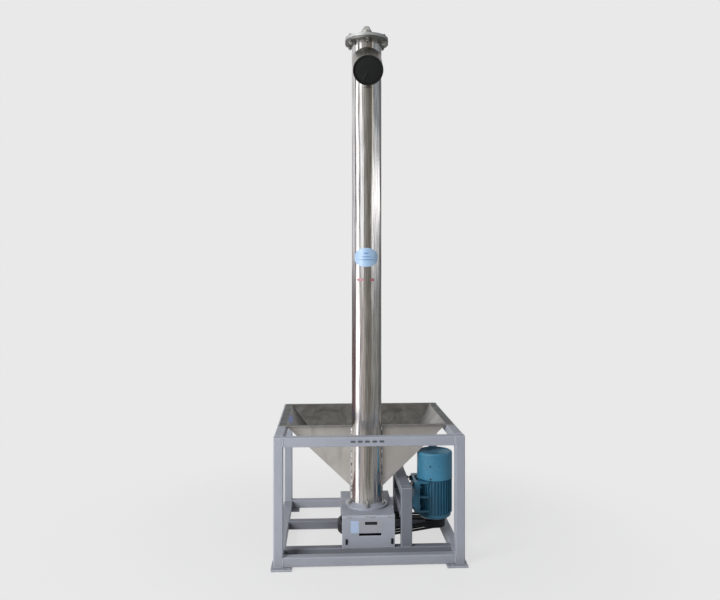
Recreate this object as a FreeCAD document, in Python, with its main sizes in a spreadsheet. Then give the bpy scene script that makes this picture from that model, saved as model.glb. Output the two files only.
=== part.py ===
import FreeCAD, Part
import math
import os
import Sketcher

# Vertical screw conveyor: a square-tube stand with a sheet hopper, an upright
# conveying tube with a discharge spout near its top, and a belt drive with an
# upright motor.  +Z is up, the front faces -Y, and the origin lies on the
# ground at the middle of the stand.

DOC = FreeCAD.newDocument("vertical_screw_conveyor")
SHEET = DOC.addObject("Spreadsheet::Sheet", "Sizes")

SIZES = [
    ("frame_width", 1000, "stand, left to right"),
    ("frame_depth", 1000, "stand, front to back"),
    ("frame_height", 680, "ground to the top of the upper rails"),
    ("bar_size", 50, "side of the square tube"),
    ("bar_wall", 3, "wall of the square tube"),
    ("bar_radius", 5, "outer corner of the square tube"),
    ("foot_width", 110, "foot plate, left to right"),
    ("foot_length", 125, "foot plate, front to back"),
    ("foot_thick", 10, "foot plate"),
    ("foot_side_overhang", 12, "foot plate beyond the leg's outer side"),
    ("foot_end_overhang", 30, "foot plate beyond the leg's front or back"),
    ("foot_hole", 14, "anchor hole"),
    ("foot_hole_inset", 15, "anchor hole centre from the plate's end"),
    ("foot_hole_side", 24, "anchor hole centre from the plate's inner edge"),
    ("sub_rail_setback", 118, "stand front to the front cross rail"),
    ("mid_rail_setback", 551, "stand front to the middle cross rail"),
    ("axis_setback", 305, "stand front to the conveying axis"),
    ("tube_diameter", 168, "conveying tube, outside"),
    ("tube_wall", 3, "conveying tube"),
    ("tube_top_height", 2838, "ground to the top of the tube's flange"),
    ("inlet_width", 130, "window from the hopper into the tube"),
    ("inlet_height", 160, "window from the hopper into the tube"),
    ("inlet_sill", 22, "window above the housing's top plate"),
    ("base_flange_diameter", 234, "flange under the tube"),
    ("base_flange_thick", 12, "flange under the tube"),
    ("collar_diameter", 216, "sloping collar on the base flange, at its foot"),
    ("collar_height", 14, "sloping collar on the base flange"),
    ("top_flange_diameter", 242, "flange on the tube and its cover"),
    ("top_flange_thick", 14, "flange on the tube"),
    ("cover_thick", 16, "cover plate"),
    ("top_bolt_circle", 212, "bolts of the top flange"),
    ("top_bolt_hole", 13, "bolts of the top flange"),
    ("top_bearing_diameter", 60, "bearing cap on the cover, at its foot"),
    ("top_bearing_crown", 30, "bearing cap on the cover, at its top"),
    ("top_bearing_height", 69, "bearing cap on the cover"),
    ("top_bearing_shoulder", 42, "bearing cap, foot to the start of its taper"),
    ("top_bearing_foot", 90, "foot flange of that bearing"),
    ("top_bearing_foot_thick", 8, "foot flange of that bearing"),
    ("top_bearing_depth", 46, "blind bore of that bearing"),
    ("spout_diameter", 166, "discharge spout, outside"),
    ("spout_wall", 3, "discharge spout"),
    ("spout_angle", 35, "discharge spout below level, degrees"),
    ("spout_drop", 42, "tube flange to the spout's upper root"),
    ("spout_reach", 140, "spout along its upper side"),
    ("liner_wall", 3, "rubber sleeve in the spout"),
    ("liner_length", 28, "rubber sleeve in the spout"),
    ("shaft_diameter", 60, "screw core"),
    ("journal_diameter", 40, "screw core at its bearings"),
    ("journal_play", 0.05, "journal to bearing bore, radial"),
    ("shaft_clearance", 6, "journal to a plate it passes through"),
    ("shaft_stub", 6, "shaft below the driven pulley"),
    ("shaft_end_gap", 4, "shaft to the blind end of the top bearing"),
    ("core_rise", 13, "core above the housing's top plate"),
    ("core_drop", 20, "core below the cover plate"),
    ("flight_clearance", 6, "flight to the tube's inside"),
    ("flight_pitch", 140, "rise of the flight in a turn"),
    ("flight_thick", 4, "sheet of the flight"),
    ("flight_start", 15, "flight above the housing's top plate"),
    ("flight_stop", 40, "flight's end below the spout's axis"),
    ("inlet_turns", 2, "turns of the flight behind the inlet window, welded on as a length of their own"),
    ("housing_width", 284, "drive housing, left to right"),
    ("housing_height", 165, "cross rails to the housing's top plate"),
    ("housing_plate", 8, "housing's top plate"),
    ("panel_thick", 6, "housing's upright panels"),
    ("panel_slot_width", 122, "hand slot in the front panel"),
    ("panel_slot_height", 15, "hand slot in the front panel"),
    ("panel_slot_rise", 62, "hand slot above the front panel's foot"),
    ("panel_slot_shift", 9, "hand slot to the right of the panel's middle"),
    ("panel_setback", 1, "front cross rail's face to the front panel"),
    ("back_panel_shift", 2, "middle cross rail's face to the back panel"),
    ("lower_bearing_diameter", 92, "bearing under the top plate"),
    ("lower_bearing_height", 60, "bearing under the top plate"),
    ("lower_bearing_flange", 150, "flange of that bearing"),
    ("lower_bearing_flange_thick", 14, "flange of that bearing"),
    ("hopper_plate", 3, "hopper sheet"),
    ("hopper_bottom", 340, "ground to the foot of the hopper's slopes"),
    ("neck_gap", 4, "tube to the neck's inside"),
    ("rim_width", 40, "hopper rim lying on the rails"),
    ("front_lip", 20, "fold along the front panels"),
    ("pulley_diameter", 326, "driven pulley"),
    ("pulley_rise", 97, "ground to the pulleys' underside"),
    ("pulley_height", 50, "both pulleys"),
    ("pulley_rim", 17, "driven pulley, rim"),
    ("pulley_web", 14, "driven pulley, web"),
    ("pulley_hub", 90, "driven pulley, hub"),
    ("groove_pitch", 15, "one belt to the next"),
    ("groove_depth", 11, "belt groove"),
    ("groove_mouth", 14, "belt groove at the rim"),
    ("groove_floor", 7.6, "belt groove at its floor"),
    ("belt_top", 12.8, "belt, outer width"),
    ("belt_bottom", 8.4, "belt, inner width"),
    ("belt_depth", 8, "belt"),
    ("motor_pulley_diameter", 120, "driving pulley"),
    ("motor_shaft", 28, "motor shaft"),
    ("motor_side", 392, "conveying axis to the motor axis, sideways, or more to clear the hopper"),
    ("motor_back", 45, "conveying axis to the motor axis, backwards"),
    ("motor_gap", 5, "driving pulley to the motor's end shield"),
    ("shield_height", 27, "motor end shield"),
    ("shield_diameter", 184, "motor end shield"),
    ("shield_chamfer", 8, "motor end shield's lower edge"),
    ("core_diameter", 176, "motor body under its fins"),
    ("core_height", 193, "finned stretch"),
    ("fin_diameter", 198, "over the fins"),
    ("fin_thick", 3, "cooling fin"),
    ("fin_root", 2, "fin sunk into the motor body it is cast with"),
    ("cowl_diameter", 200, "fan cowl"),
    ("cowl_height", 151, "fan cowl"),
    ("cowl_radius", 12, "fan cowl's upper edge"),
    ("cowl_clearance", 6, "fan cowl to the hopper's slope, sideways"),
    ("cowl_dish", 168, "sunk face in the fan cowl's top"),
    ("cowl_dish_depth", 4, "sunk face in the fan cowl's top"),
    ("grille_outer", 140, "over the ring of air slots in the sunk face"),
    ("grille_inner", 52, "inside that ring"),
    ("grille_slot", 5, "width of an air slot"),
    ("grille_depth", 7, "air slot"),
    ("motor_centre_height", 112, "motor axis to the underside of its feet"),
    ("motor_foot_spread", 190, "over both feet"),
    ("motor_foot_width", 42, "one foot"),
    ("motor_foot_length", 170, "one foot, along the axis"),
    ("motor_foot_thick", 16, "one foot's pad"),
    ("motor_foot_rise", 45, "end shield's face to the foot"),
    ("motor_web_thick", 10, "webs from a foot to the body"),
    ("mount_plate_thick", 14, "plate behind the motor's feet"),
    ("bracket_width", 60, "motor bracket tube, left to right"),
    ("bracket_height", 375, "ground to the top of the bracket"),
    ("bracket_left", 176, "middle of the stand to the bracket"),
    ("bracket_lower", 195, "ground to the bracket's lower rail"),
    ("rod_diameter", 12, "tension rod"),
    ("rod_inset", 25, "tension rod from the mount plate's edge"),
    ("terminal_width", 96, "terminal box"),
    ("terminal_height", 104, "terminal box"),
    ("terminal_depth", 54, "terminal box"),
    ("terminal_radius", 8, "terminal box's upright corners"),
    ("terminal_rise", 60, "finned stretch's foot to the terminal box"),
]

for row, (alias, value, note) in enumerate(SIZES, 1):
    SHEET.set("A%d" % row, note)
    SHEET.set("B%d" % row, str(value))
    SHEET.setAlias("B%d" % row, alias)
DOC.recompute()


def size(expression):
    """Value of an expression in the sheet's names, in millimetres or degrees."""
    return float(SHEET.evalExpression(str(expression)))


# Places that several pieces share, as expressions of the sheet.
LEFT = "-Sizes.frame_width / 2"
FRONT = "-Sizes.frame_depth / 2"
AXIS_Y = "(Sizes.axis_setback - Sizes.frame_depth / 2)"
RAIL_TOP = "(Sizes.foot_thick + Sizes.bar_size)"
SUB_RAIL_Y = "(Sizes.sub_rail_setback - Sizes.frame_depth / 2)"
MID_RAIL_Y = "(Sizes.mid_rail_setback - Sizes.frame_depth / 2)"
PLATE_TOP = "(%s + Sizes.housing_height + Sizes.housing_plate)" % RAIL_TOP
TUBE_R = "Sizes.tube_diameter / 2"
TUBE_IN_R = "(Sizes.tube_diameter / 2 - Sizes.tube_wall)"
JOURNAL_R = "Sizes.journal_diameter / 2"
BORE_R = "(Sizes.journal_diameter / 2 + Sizes.journal_play)"
MOUTH_X = "(Sizes.frame_width / 2 - Sizes.bar_size)"
MOUTH_BACK = "(Sizes.frame_depth / 2 - Sizes.bar_size)"
RIM_TOP = "(Sizes.frame_height + Sizes.hopper_plate)"
NECK_HALF = "(Sizes.tube_diameter / 2 + Sizes.neck_gap)"
NECK_BACK = "(%s + %s)" % (AXIS_Y, NECK_HALF)
DROP = "(%s - Sizes.hopper_bottom)" % RIM_TOP
SIDE_RUN = "(%s - %s)" % (MOUTH_X, NECK_HALF)
BACK_RUN = "(%s - %s)" % (MOUTH_BACK, NECK_BACK)
SIDE_V = "(Sizes.hopper_plate * sqrt(1 + (%s / %s)^2))" % (DROP, SIDE_RUN)
BACK_V = "(Sizes.hopper_plate * sqrt(1 + (%s / %s)^2))" % (DROP, BACK_RUN)
# Underside of both pulleys: at its own level, or lower where a lower stand needs the motor,
# which stands on the same level, to pass under its upper rails.
MOTOR_TALL = "(Sizes.pulley_height + Sizes.motor_gap + Sizes.shield_height + Sizes.core_height + Sizes.cowl_height)"
PULLEY_Z = "min(Sizes.pulley_rise; Sizes.frame_height - Sizes.bar_size - Sizes.cowl_clearance - %s)" % MOTOR_TALL
PULLEY_TOP = "(%s + Sizes.pulley_height)" % PULLEY_Z
SHIELD_Z = "(%s + Sizes.motor_gap)" % PULLEY_TOP
CORE_Z = "(%s + Sizes.shield_height)" % SHIELD_Z
COWL_Z = "(%s + Sizes.core_height)" % CORE_Z
FOOT_Z = "(%s + Sizes.motor_foot_rise)" % SHIELD_Z
MOTOR_Y = "(%s + Sizes.motor_back)" % AXIS_Y
# Where the hopper's right slope passes at the level of the cowl's top, and the motor
# beside it: at its own distance, or further out where a flatter slope needs that.
SLOPE_X = "(%s + (%s + Sizes.cowl_height - Sizes.hopper_bottom + %s) * %s / %s)" % (
    NECK_HALF, COWL_Z, SIDE_V, SIDE_RUN, DROP)
MOTOR_X = "max(Sizes.motor_side; %s + Sizes.cowl_clearance + Sizes.cowl_diameter / 2)" % SLOPE_X
MOUNT_X = "(%s - Sizes.motor_centre_height - Sizes.mount_plate_thick)" % MOTOR_X
SPOUT_COS = "cos(Sizes.spout_angle * 1deg)"
SPOUT_SIN = "sin(Sizes.spout_angle * 1deg)"
SPOUT_ROOT_Z = "(Sizes.tube_top_height - Sizes.top_flange_thick - Sizes.spout_drop)"
SPOUT_BACK = "(%s - Sizes.spout_diameter / 2 * %s)" % (TUBE_R, SPOUT_SIN)
SPOUT_Z = "(%s - Sizes.spout_diameter / 2 * %s + %s * tan(Sizes.spout_angle * 1deg))" % (
    SPOUT_ROOT_Z, SPOUT_COS, SPOUT_BACK)
SPOUT_LENGTH = "(%s / %s + Sizes.spout_reach)" % (SPOUT_BACK, SPOUT_COS)
NECK_Z = "(%s + Sizes.base_flange_thick)" % PLATE_TOP

NODES = []


def bind(obj, **expressions):
    for name, expression in expressions.items():
        obj.setExpression(name, str(expression))


def place(obj, x=0, y=0, z=0):
    for letter, expression in zip("xyz", (x, y, z)):
        obj.setExpression("Placement.Base.%s" % letter, str(expression))


def new_body(label, x=0, y=0, z=0):
    body = DOC.addObject("PartDesign::Body", label)
    body.Label = label
    place(body, x, y, z)
    NODES.append(body)
    return body


def block(body, kind, length, width, height, x=0, y=0, z=0):
    """Box of a body; kind is Additive or Subtractive."""
    box = body.newObject("PartDesign::%sBox" % kind, "Block")
    bind(box, Length=length, Width=width, Height=height)
    place(box, x, y, z)
    return box


def drum(body, kind, radius, height, x=0, y=0, z=0):
    """Upright cylinder of a body; kind is Additive or Subtractive."""
    cylinder = body.newObject("PartDesign::%sCylinder" % kind, "Drum")
    bind(cylinder, Radius=radius, Height=height)
    place(cylinder, x, y, z)
    return cylinder


def origin_plane(body, role):
    for item in body.Origin.OriginFeatures:
        if item.Role == role:
            return item
    raise ValueError("no origin plane " + role)


def outline(body, role, *loops):
    """Sketch of straight closed loops on an origin plane, each corner bound to the sheet."""
    sketch = body.newObject("Sketcher::SketchObject", "Outline")
    sketch.AttachmentSupport = [(origin_plane(body, role), "")]
    sketch.MapMode = "FlatFace"
    for points in loops:
        first = sketch.GeometryCount
        corners = [FreeCAD.Vector(size(u), size(v), 0) for u, v in points]
        for i, corner in enumerate(corners):
            sketch.addGeometry(Part.LineSegment(corner, corners[(i + 1) % len(corners)]))
        for i in range(len(points)):
            following = first + (i + 1) % len(points)
            sketch.addConstraint(Sketcher.Constraint("Coincident", first + i, 2, following, 1))
        for i, (u, v) in enumerate(points):
            for kind, expression in (("DistanceX", u), ("DistanceY", v)):
                constraint = Sketcher.Constraint(kind, -1, 1, first + i, 1, size(expression))
                index = sketch.addConstraint(constraint)
                sketch.setExpression("Constraints[%d]" % index, str(expression))
    return sketch


def turn(body, *loops):
    """Solid of revolution about Z from loops of (radius, height)."""
    sketch = outline(body, "XZ_Plane", *loops)
    solid = body.newObject("PartDesign::Revolution", "Turned")
    solid.Profile = sketch
    solid.ReferenceAxis = (sketch, ["V_Axis"])
    solid.Angle = 360
    return solid


def pad(body, role, length, *loops, midplane=False, backwards=False):
    sketch = outline(body, role, *loops)
    solid = body.newObject("PartDesign::Pad", "Padded")
    solid.Profile = sketch
    bind(solid, Length=length)
    solid.Midplane = midplane
    solid.Reversed = backwards
    return solid


def trim(body, role, *loops):
    """Cut right through a body, both ways from an origin plane."""
    sketch = outline(body, role, *loops)
    cut = body.newObject("PartDesign::Pocket", "Trimmed")
    cut.Profile = sketch
    cut.Type = "ThroughAll"
    cut.Midplane = True
    return cut


def ring_of(body, feature, count):
    """Repeat a feature evenly about the body's Z axis."""
    pattern = body.newObject("PartDesign::PolarPattern", "Ring")
    pattern.Originals = [feature]
    pattern.Axis = ([o for o in body.Origin.OriginFeatures if o.Role == "Z_Axis"][0], [""])
    pattern.Angle = 360
    pattern.Occurrences = count
    body.Tip = pattern
    return pattern


def round_edges(body, direction, radius):
    """Fillet the body's straight edges that run along a direction."""
    DOC.recompute()
    base = body.Tip
    names = []
    for i, edge in enumerate(base.Shape.Edges, 1):
        if isinstance(edge.Curve, Part.Line) and abs(edge.Curve.Direction.dot(direction)) > 0.999:
            names.append("Edge%d" % i)
    fillet = body.newObject("PartDesign::Fillet", "Rounded")
    fillet.Base = (base, names)
    bind(fillet, Radius=radius)
    return fillet


def round_top(body, radius):
    """Fillet the round edge that lies highest on a body."""
    DOC.recompute()
    base = body.Tip
    rims = [(edge.CenterOfMass.z, i) for i, edge in enumerate(base.Shape.Edges, 1) if edge.isClosed()]
    fillet = body.newObject("PartDesign::Fillet", "Rounded")
    fillet.Base = (base, ["Edge%d" % max(rims)[1]])
    bind(fillet, Radius=radius)
    return fillet


AXES = (FreeCAD.Vector(1, 0, 0), FreeCAD.Vector(0, 1, 0), FreeCAD.Vector(0, 0, 1))


def tube_bar(label, along, length, x, y, z, width="Sizes.bar_size", cap="0"):
    """Square tube along one axis from its low corner; cap closes its far end."""
    body = new_body(label, x, y, z)
    outer = [width, "Sizes.bar_size", "Sizes.bar_size"]
    inner = ["%s - 2 * Sizes.bar_wall" % side for side in outer]
    start = ["Sizes.bar_wall"] * 3
    outer[along] = length
    inner[along] = "%s - %s" % (length, cap)
    start[along] = "0"
    block(body, "Additive", *outer)
    round_edges(body, AXES[along], "Sizes.bar_radius")
    block(body, "Subtractive", *inner, *start)
    return body


def stand():
    """Legs, rails and cross rails of square tube, welded edge to edge."""
    right = "Sizes.frame_width / 2 - Sizes.bar_size"
    back = "Sizes.frame_depth / 2 - Sizes.bar_size"
    rise = "Sizes.frame_height - Sizes.foot_thick"
    for depth_name, y in (("front", FRONT), ("back", back)):
        for side_name, x in (("left", LEFT), ("right", right)):
            tube_bar("%s_%s_leg" % (depth_name, side_name), 2, rise, x, y,
                     "Sizes.foot_thick", cap="Sizes.bar_wall")
    span_x = "Sizes.frame_width - 2 * Sizes.bar_size"
    span_y = "Sizes.frame_depth - 2 * Sizes.bar_size"
    inner_x = LEFT + " + Sizes.bar_size"
    inner_y = FRONT + " + Sizes.bar_size"
    for level, z in (("top", "Sizes.frame_height - Sizes.bar_size"), ("bottom", "Sizes.foot_thick")):
        tube_bar("front_%s_rail" % level, 0, span_x, inner_x, FRONT, z)
        tube_bar("back_%s_rail" % level, 0, span_x, inner_x, back, z)
        tube_bar("left_%s_rail" % level, 1, span_y, LEFT, inner_y, z)
        tube_bar("right_%s_rail" % level, 1, span_y, right, inner_y, z)
    pair = DOC.addObject("Part::Compound", "cross_rails")
    pair.Label = "cross_rails"
    pair.Links = [tube_bar("CrossRail", 0, span_x, inner_x, y, "Sizes.foot_thick")
                  for y in (SUB_RAIL_Y, MID_RAIL_Y)]
    del NODES[-2:]
    NODES.append(pair)


def foot_plates():
    """Four plates under the legs, each with an anchor hole in its inner corner."""
    plate = DOC.addObject("Part::Box", "FootPlate")
    bind(plate, Length="Sizes.foot_width", Width="Sizes.foot_length", Height="Sizes.foot_thick")
    x = LEFT + " - Sizes.foot_side_overhang"
    y = FRONT + " - Sizes.foot_end_overhang"
    place(plate, x, y, 0)
    hole = DOC.addObject("Part::Cylinder", "AnchorHole")
    bind(hole, Radius="Sizes.foot_hole / 2", Height="Sizes.foot_thick")
    place(hole, x + " + Sizes.foot_width - Sizes.foot_hole_side", y + " + Sizes.foot_hole_inset", 0)
    drilled = DOC.addObject("Part::Cut", "DrilledPlate")
    drilled.Base = plate
    drilled.Tool = hole
    across = DOC.addObject("Part::Mirroring", "PlateAcross")
    across.Source = drilled
    across.Normal = AXES[0]
    pair = DOC.addObject("Part::Compound", "PlatePair")
    pair.Links = [drilled, across]
    behind = DOC.addObject("Part::Mirroring", "PlatesBehind")
    behind.Source = pair
    behind.Normal = AXES[1]
    plates = DOC.addObject("Part::Compound", "foot_plates")
    plates.Label = "foot_plates"
    plates.Links = [pair, behind]
    NODES.append(plates)


def hopper_side(label, mirrored):
    """Sloping side sheet with its rim folded out over the side rail."""
    body = new_body(label, 0, MOUTH_BACK, 0)
    sign = "-" if mirrored else ""
    slope = [(sign + NECK_HALF, "Sizes.hopper_bottom"),
             (sign + MOUTH_X, RIM_TOP),
             (sign + MOUTH_X, "%s - %s" % (RIM_TOP, SIDE_V)),
             (sign + NECK_HALF, "Sizes.hopper_bottom - %s" % SIDE_V)]
    front = "(%s + Sizes.hopper_plate / 2)" % AXIS_Y
    length = "(%s - %s)" % (MOUTH_BACK, front)
    pad(body, "XZ_Plane", length, slope)
    low = "Sizes.hopper_bottom - 2 * %s" % SIDE_V
    trim(body, "YZ_Plane", [("0", RIM_TOP),
                            ("-" + BACK_RUN, "Sizes.hopper_bottom"),
                            ("-" + BACK_RUN, low),
                            ("Sizes.hopper_plate", low),
                            ("Sizes.hopper_plate", RIM_TOP)])
    x = "-%s - Sizes.rim_width" % MOUTH_X if mirrored else MOUTH_X
    block(body, "Additive", "Sizes.rim_width", length, "Sizes.hopper_plate",
          x, "-" + length, "Sizes.frame_height")
    return body


def hopper():
    """Sheet hopper behind the tube: two sloping sides, a sloping back, an upright front."""
    hopper_side("hopper_left_wall", True)
    hopper_side("hopper_right_wall", False)

    back = new_body("hopper_back_wall")
    pad(back, "YZ_Plane", "2 * " + MOUTH_X,
        [(NECK_BACK, "Sizes.hopper_bottom"),
         (MOUTH_BACK, RIM_TOP),
         (MOUTH_BACK, "%s - %s" % (RIM_TOP, BACK_V)),
         (NECK_BACK, "Sizes.hopper_bottom - %s" % BACK_V)], midplane=True)
    low = "Sizes.hopper_bottom - 2 * %s" % SIDE_V
    for sign in ("", "-"):
        beyond = "%s(%s + Sizes.hopper_plate)" % (sign, MOUTH_X)
        trim(back, "XZ_Plane", [(sign + NECK_HALF, "Sizes.hopper_bottom - %s" % SIDE_V),
                                (sign + MOUTH_X, "%s - %s" % (RIM_TOP, SIDE_V)),
                                (beyond, "%s - %s" % (RIM_TOP, SIDE_V)),
                                (beyond, low),
                                (sign + NECK_HALF, low)])
    block(back, "Additive", "2 * (%s + Sizes.rim_width)" % MOUTH_X, "Sizes.rim_width",
          "Sizes.hopper_plate", "-%s - Sizes.rim_width" % MOUTH_X, MOUTH_BACK, "Sizes.frame_height")

    front_y = "%s - Sizes.hopper_plate / 2" % AXIS_Y
    for label, sign in (("hopper_front_left_panel", "-"), ("hopper_front_right_panel", "")):
        panel = new_body(label, 0, front_y, 0)
        foot = "Sizes.hopper_bottom - %s" % SIDE_V
        pad(panel, "XZ_Plane", "Sizes.hopper_plate",
            [(sign + TUBE_R, RIM_TOP),
             (sign + MOUTH_X, RIM_TOP),
             (sign + MOUTH_X, "%s - %s" % (RIM_TOP, SIDE_V)),
             (sign + NECK_HALF, foot),
             (sign + TUBE_R, foot)], backwards=True)
        x = TUBE_R if sign == "" else "-%s - Sizes.rim_width" % MOUTH_X
        block(panel, "Additive", "%s + Sizes.rim_width - %s" % (MOUTH_X, TUBE_R), "Sizes.front_lip",
              "Sizes.hopper_plate", x, "-Sizes.front_lip", "Sizes.frame_height")

    body = new_body("hopper_neck", 0, AXIS_Y, NECK_Z)
    tall = "(Sizes.hopper_bottom - %s - %s)" % (SIDE_V, NECK_Z)
    block(body, "Additive", "2 * (%s + Sizes.hopper_plate)" % NECK_HALF,
          "%s + 1.5 * Sizes.hopper_plate" % NECK_HALF, tall,
          "-%s - Sizes.hopper_plate" % NECK_HALF, "-Sizes.hopper_plate / 2", 0)
    block(body, "Subtractive", "2 * %s" % NECK_HALF, "%s - Sizes.hopper_plate / 2" % NECK_HALF,
          tall, "-" + NECK_HALF, "Sizes.hopper_plate / 2", 0)
    drum(body, "Subtractive", TUBE_R, tall, 0, 0, 0)


def lean(obj, angle):
    """Turn an object about its own X axis by an angle of the sheet."""
    obj.Placement = FreeCAD.Placement(FreeCAD.Vector(), FreeCAD.Rotation(AXES[0], 1))
    obj.setExpression("Placement.Rotation.Angle", angle)


def conveyor_tube():
    """Plain tube with an inlet window behind and an outlet hole in front."""
    body = new_body("conveyor_tube", 0, AXIS_Y, PLATE_TOP)
    tall = "(Sizes.tube_top_height - Sizes.top_flange_thick - %s)" % PLATE_TOP
    drum(body, "Additive", TUBE_R, tall)
    drum(body, "Subtractive", TUBE_IN_R, tall)
    block(body, "Subtractive", "Sizes.inlet_width", TUBE_R, "Sizes.inlet_height",
          "-Sizes.inlet_width / 2", 0, "Sizes.inlet_sill")
    outlet = body.newObject("PartDesign::SubtractiveCylinder", "Outlet")
    lean(outlet, "90 + Sizes.spout_angle")
    bind(outlet, Radius="Sizes.spout_diameter / 2 - Sizes.spout_wall", Height=SPOUT_LENGTH)
    place(outlet, 0, 0, "%s - %s" % (SPOUT_Z, PLATE_TOP))


def discharge_spout():
    """Inclined pipe that meets the tube's wall, with a rubber sleeve in its mouth."""
    spout = new_body("discharge_spout")
    lean(spout, "90 + Sizes.spout_angle")
    place(spout, 0, AXIS_Y, SPOUT_Z)
    drum(spout, "Additive", "Sizes.spout_diameter / 2", SPOUT_LENGTH)
    drum(spout, "Subtractive", "Sizes.spout_diameter / 2 - Sizes.spout_wall", SPOUT_LENGTH)
    wall = spout.newObject("PartDesign::SubtractiveCylinder", "TubeWall")
    lean(wall, "-90 - Sizes.spout_angle")
    bind(wall, Radius=TUBE_R, Height="4 * Sizes.tube_diameter")
    place(wall, 0, "-2 * Sizes.tube_diameter * %s" % SPOUT_COS, "2 * Sizes.tube_diameter * %s" % SPOUT_SIN)

    liner = new_body("spout_liner")
    lean(liner, "90 + Sizes.spout_angle")
    place(liner, 0, AXIS_Y, SPOUT_Z)
    bore = "(Sizes.spout_diameter / 2 - Sizes.spout_wall)"
    turn(liner, [(bore + " - Sizes.liner_wall", "%s - Sizes.liner_length" % SPOUT_LENGTH),
                 (bore, "%s - Sizes.liner_length" % SPOUT_LENGTH),
                 (bore, SPOUT_LENGTH),
                 ("Sizes.spout_diameter / 2", SPOUT_LENGTH),
                 ("Sizes.spout_diameter / 2", SPOUT_LENGTH + " + Sizes.liner_wall"),
                 (bore + " - Sizes.liner_wall", SPOUT_LENGTH + " + Sizes.liner_wall")])


def tube_ends():
    """Flanges at both ends of the tube, the cover plate and the bearing on it."""
    base = new_body("tube_base_flange", 0, AXIS_Y, PLATE_TOP)
    turn(base, [(TUBE_R, "0"),
                ("Sizes.base_flange_diameter / 2", "0"),
                ("Sizes.base_flange_diameter / 2", "Sizes.base_flange_thick"),
                ("Sizes.collar_diameter / 2", "Sizes.base_flange_thick"),
                (TUBE_R, "Sizes.base_flange_thick + Sizes.collar_height")])
    block(base, "Subtractive", "Sizes.base_flange_diameter", "Sizes.base_flange_diameter",
          "Sizes.collar_height", "-Sizes.base_flange_diameter / 2", "-Sizes.hopper_plate / 2",
          "Sizes.base_flange_thick")

    flange = new_body("tube_top_flange", 0, AXIS_Y, "Sizes.tube_top_height - Sizes.top_flange_thick")
    turn(flange, [(TUBE_IN_R, "0"),
                  ("Sizes.top_flange_diameter / 2", "0"),
                  ("Sizes.top_flange_diameter / 2", "Sizes.top_flange_thick"),
                  (TUBE_IN_R, "Sizes.top_flange_thick")])
    hole = drum(flange, "Subtractive", "Sizes.top_bolt_hole / 2", "Sizes.top_flange_thick",
                0, "-Sizes.top_bolt_circle / 2", 0)
    ring_of(flange, hole, 6)

    cover = new_body("top_cover_plate", 0, AXIS_Y, "Sizes.tube_top_height")
    turn(cover, [(JOURNAL_R + " + Sizes.shaft_clearance", "0"),
                 ("Sizes.top_flange_diameter / 2", "0"),
                 ("Sizes.top_flange_diameter / 2", "Sizes.cover_thick"),
                 (JOURNAL_R + " + Sizes.shaft_clearance", "Sizes.cover_thick")])
    hole = drum(cover, "Subtractive", "Sizes.top_bolt_hole / 2", "Sizes.cover_thick",
                0, "-Sizes.top_bolt_circle / 2", 0)
    ring_of(cover, hole, 6)

    bearing = new_body("top_bearing", 0, AXIS_Y, "Sizes.tube_top_height + Sizes.cover_thick")
    tall = "Sizes.top_bearing_height"
    turn(bearing, [(BORE_R, "0"),
                   ("Sizes.top_bearing_foot / 2", "0"),
                   ("Sizes.top_bearing_foot / 2", "Sizes.top_bearing_foot_thick"),
                   ("Sizes.top_bearing_diameter / 2", "Sizes.top_bearing_foot_thick"),
                   ("Sizes.top_bearing_diameter / 2", "Sizes.top_bearing_shoulder"),
                   ("Sizes.top_bearing_crown / 2", tall),
                   ("0", tall),
                   ("0", "Sizes.top_bearing_depth"),
                   (BORE_R, "Sizes.top_bearing_depth")])


def screw():
    """Core with a bearing journal at each end, and a helical flight welded on it in two lengths."""
    foot = "(%s + Sizes.core_rise)" % PLATE_TOP
    head = "(Sizes.tube_top_height - Sizes.core_drop)"
    end = "(Sizes.tube_top_height + Sizes.cover_thick + Sizes.top_bearing_depth - Sizes.shaft_end_gap)"
    core = new_body("screw_shaft", 0, AXIS_Y, 0)
    turn(core, [("0", PULLEY_Z + " - Sizes.shaft_stub"),
                (JOURNAL_R, PULLEY_Z + " - Sizes.shaft_stub"),
                (JOURNAL_R, foot),
                ("Sizes.shaft_diameter / 2", foot),
                ("Sizes.shaft_diameter / 2", head),
                (JOURNAL_R, head),
                (JOURNAL_R, end),
                ("0", end)])

    # One section of the sheet, turned and raised in equal steps, is lofted into the flight.
    steps = 18
    pitch = size("Sizes.flight_pitch")
    low = size(PLATE_TOP + " + Sizes.flight_start")
    high = size("%s - Sizes.flight_stop" % SPOUT_Z)
    inner = size("Sizes.shaft_diameter / 2") / math.cos(math.pi / steps)
    outer = size("%s - Sizes.flight_clearance" % TUBE_IN_R)
    thick = size("Sizes.flight_thick")
    section = [FreeCAD.Vector(inner, 0, 0), FreeCAD.Vector(outer, 0, 0),
               FreeCAD.Vector(outer, 0, thick), FreeCAD.Vector(inner, 0, thick)]
    wires = []
    for i in range(int((high - low) / pitch * steps) + 1):
        spin = FreeCAD.Rotation(AXES[2], 360 * i / steps)
        rise = FreeCAD.Vector(0, 0, low + pitch * i / steps)
        corners = [spin.multVec(corner) + rise for corner in section]
        wires.append(Part.makePolygon(corners + corners[:1]))
    seam = int(size("Sizes.inlet_turns") * steps)
    for label, lengths in (("inlet_flight", wires[:seam + 1]), ("screw_flight", wires[seam:])):
        flight = DOC.addObject("Part::Feature", label)
        flight.Label = label
        flight.Shape = Part.makeLoft(lengths, True, True)
        place(flight, 0, AXIS_Y, 0)
        NODES.append(flight)


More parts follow.
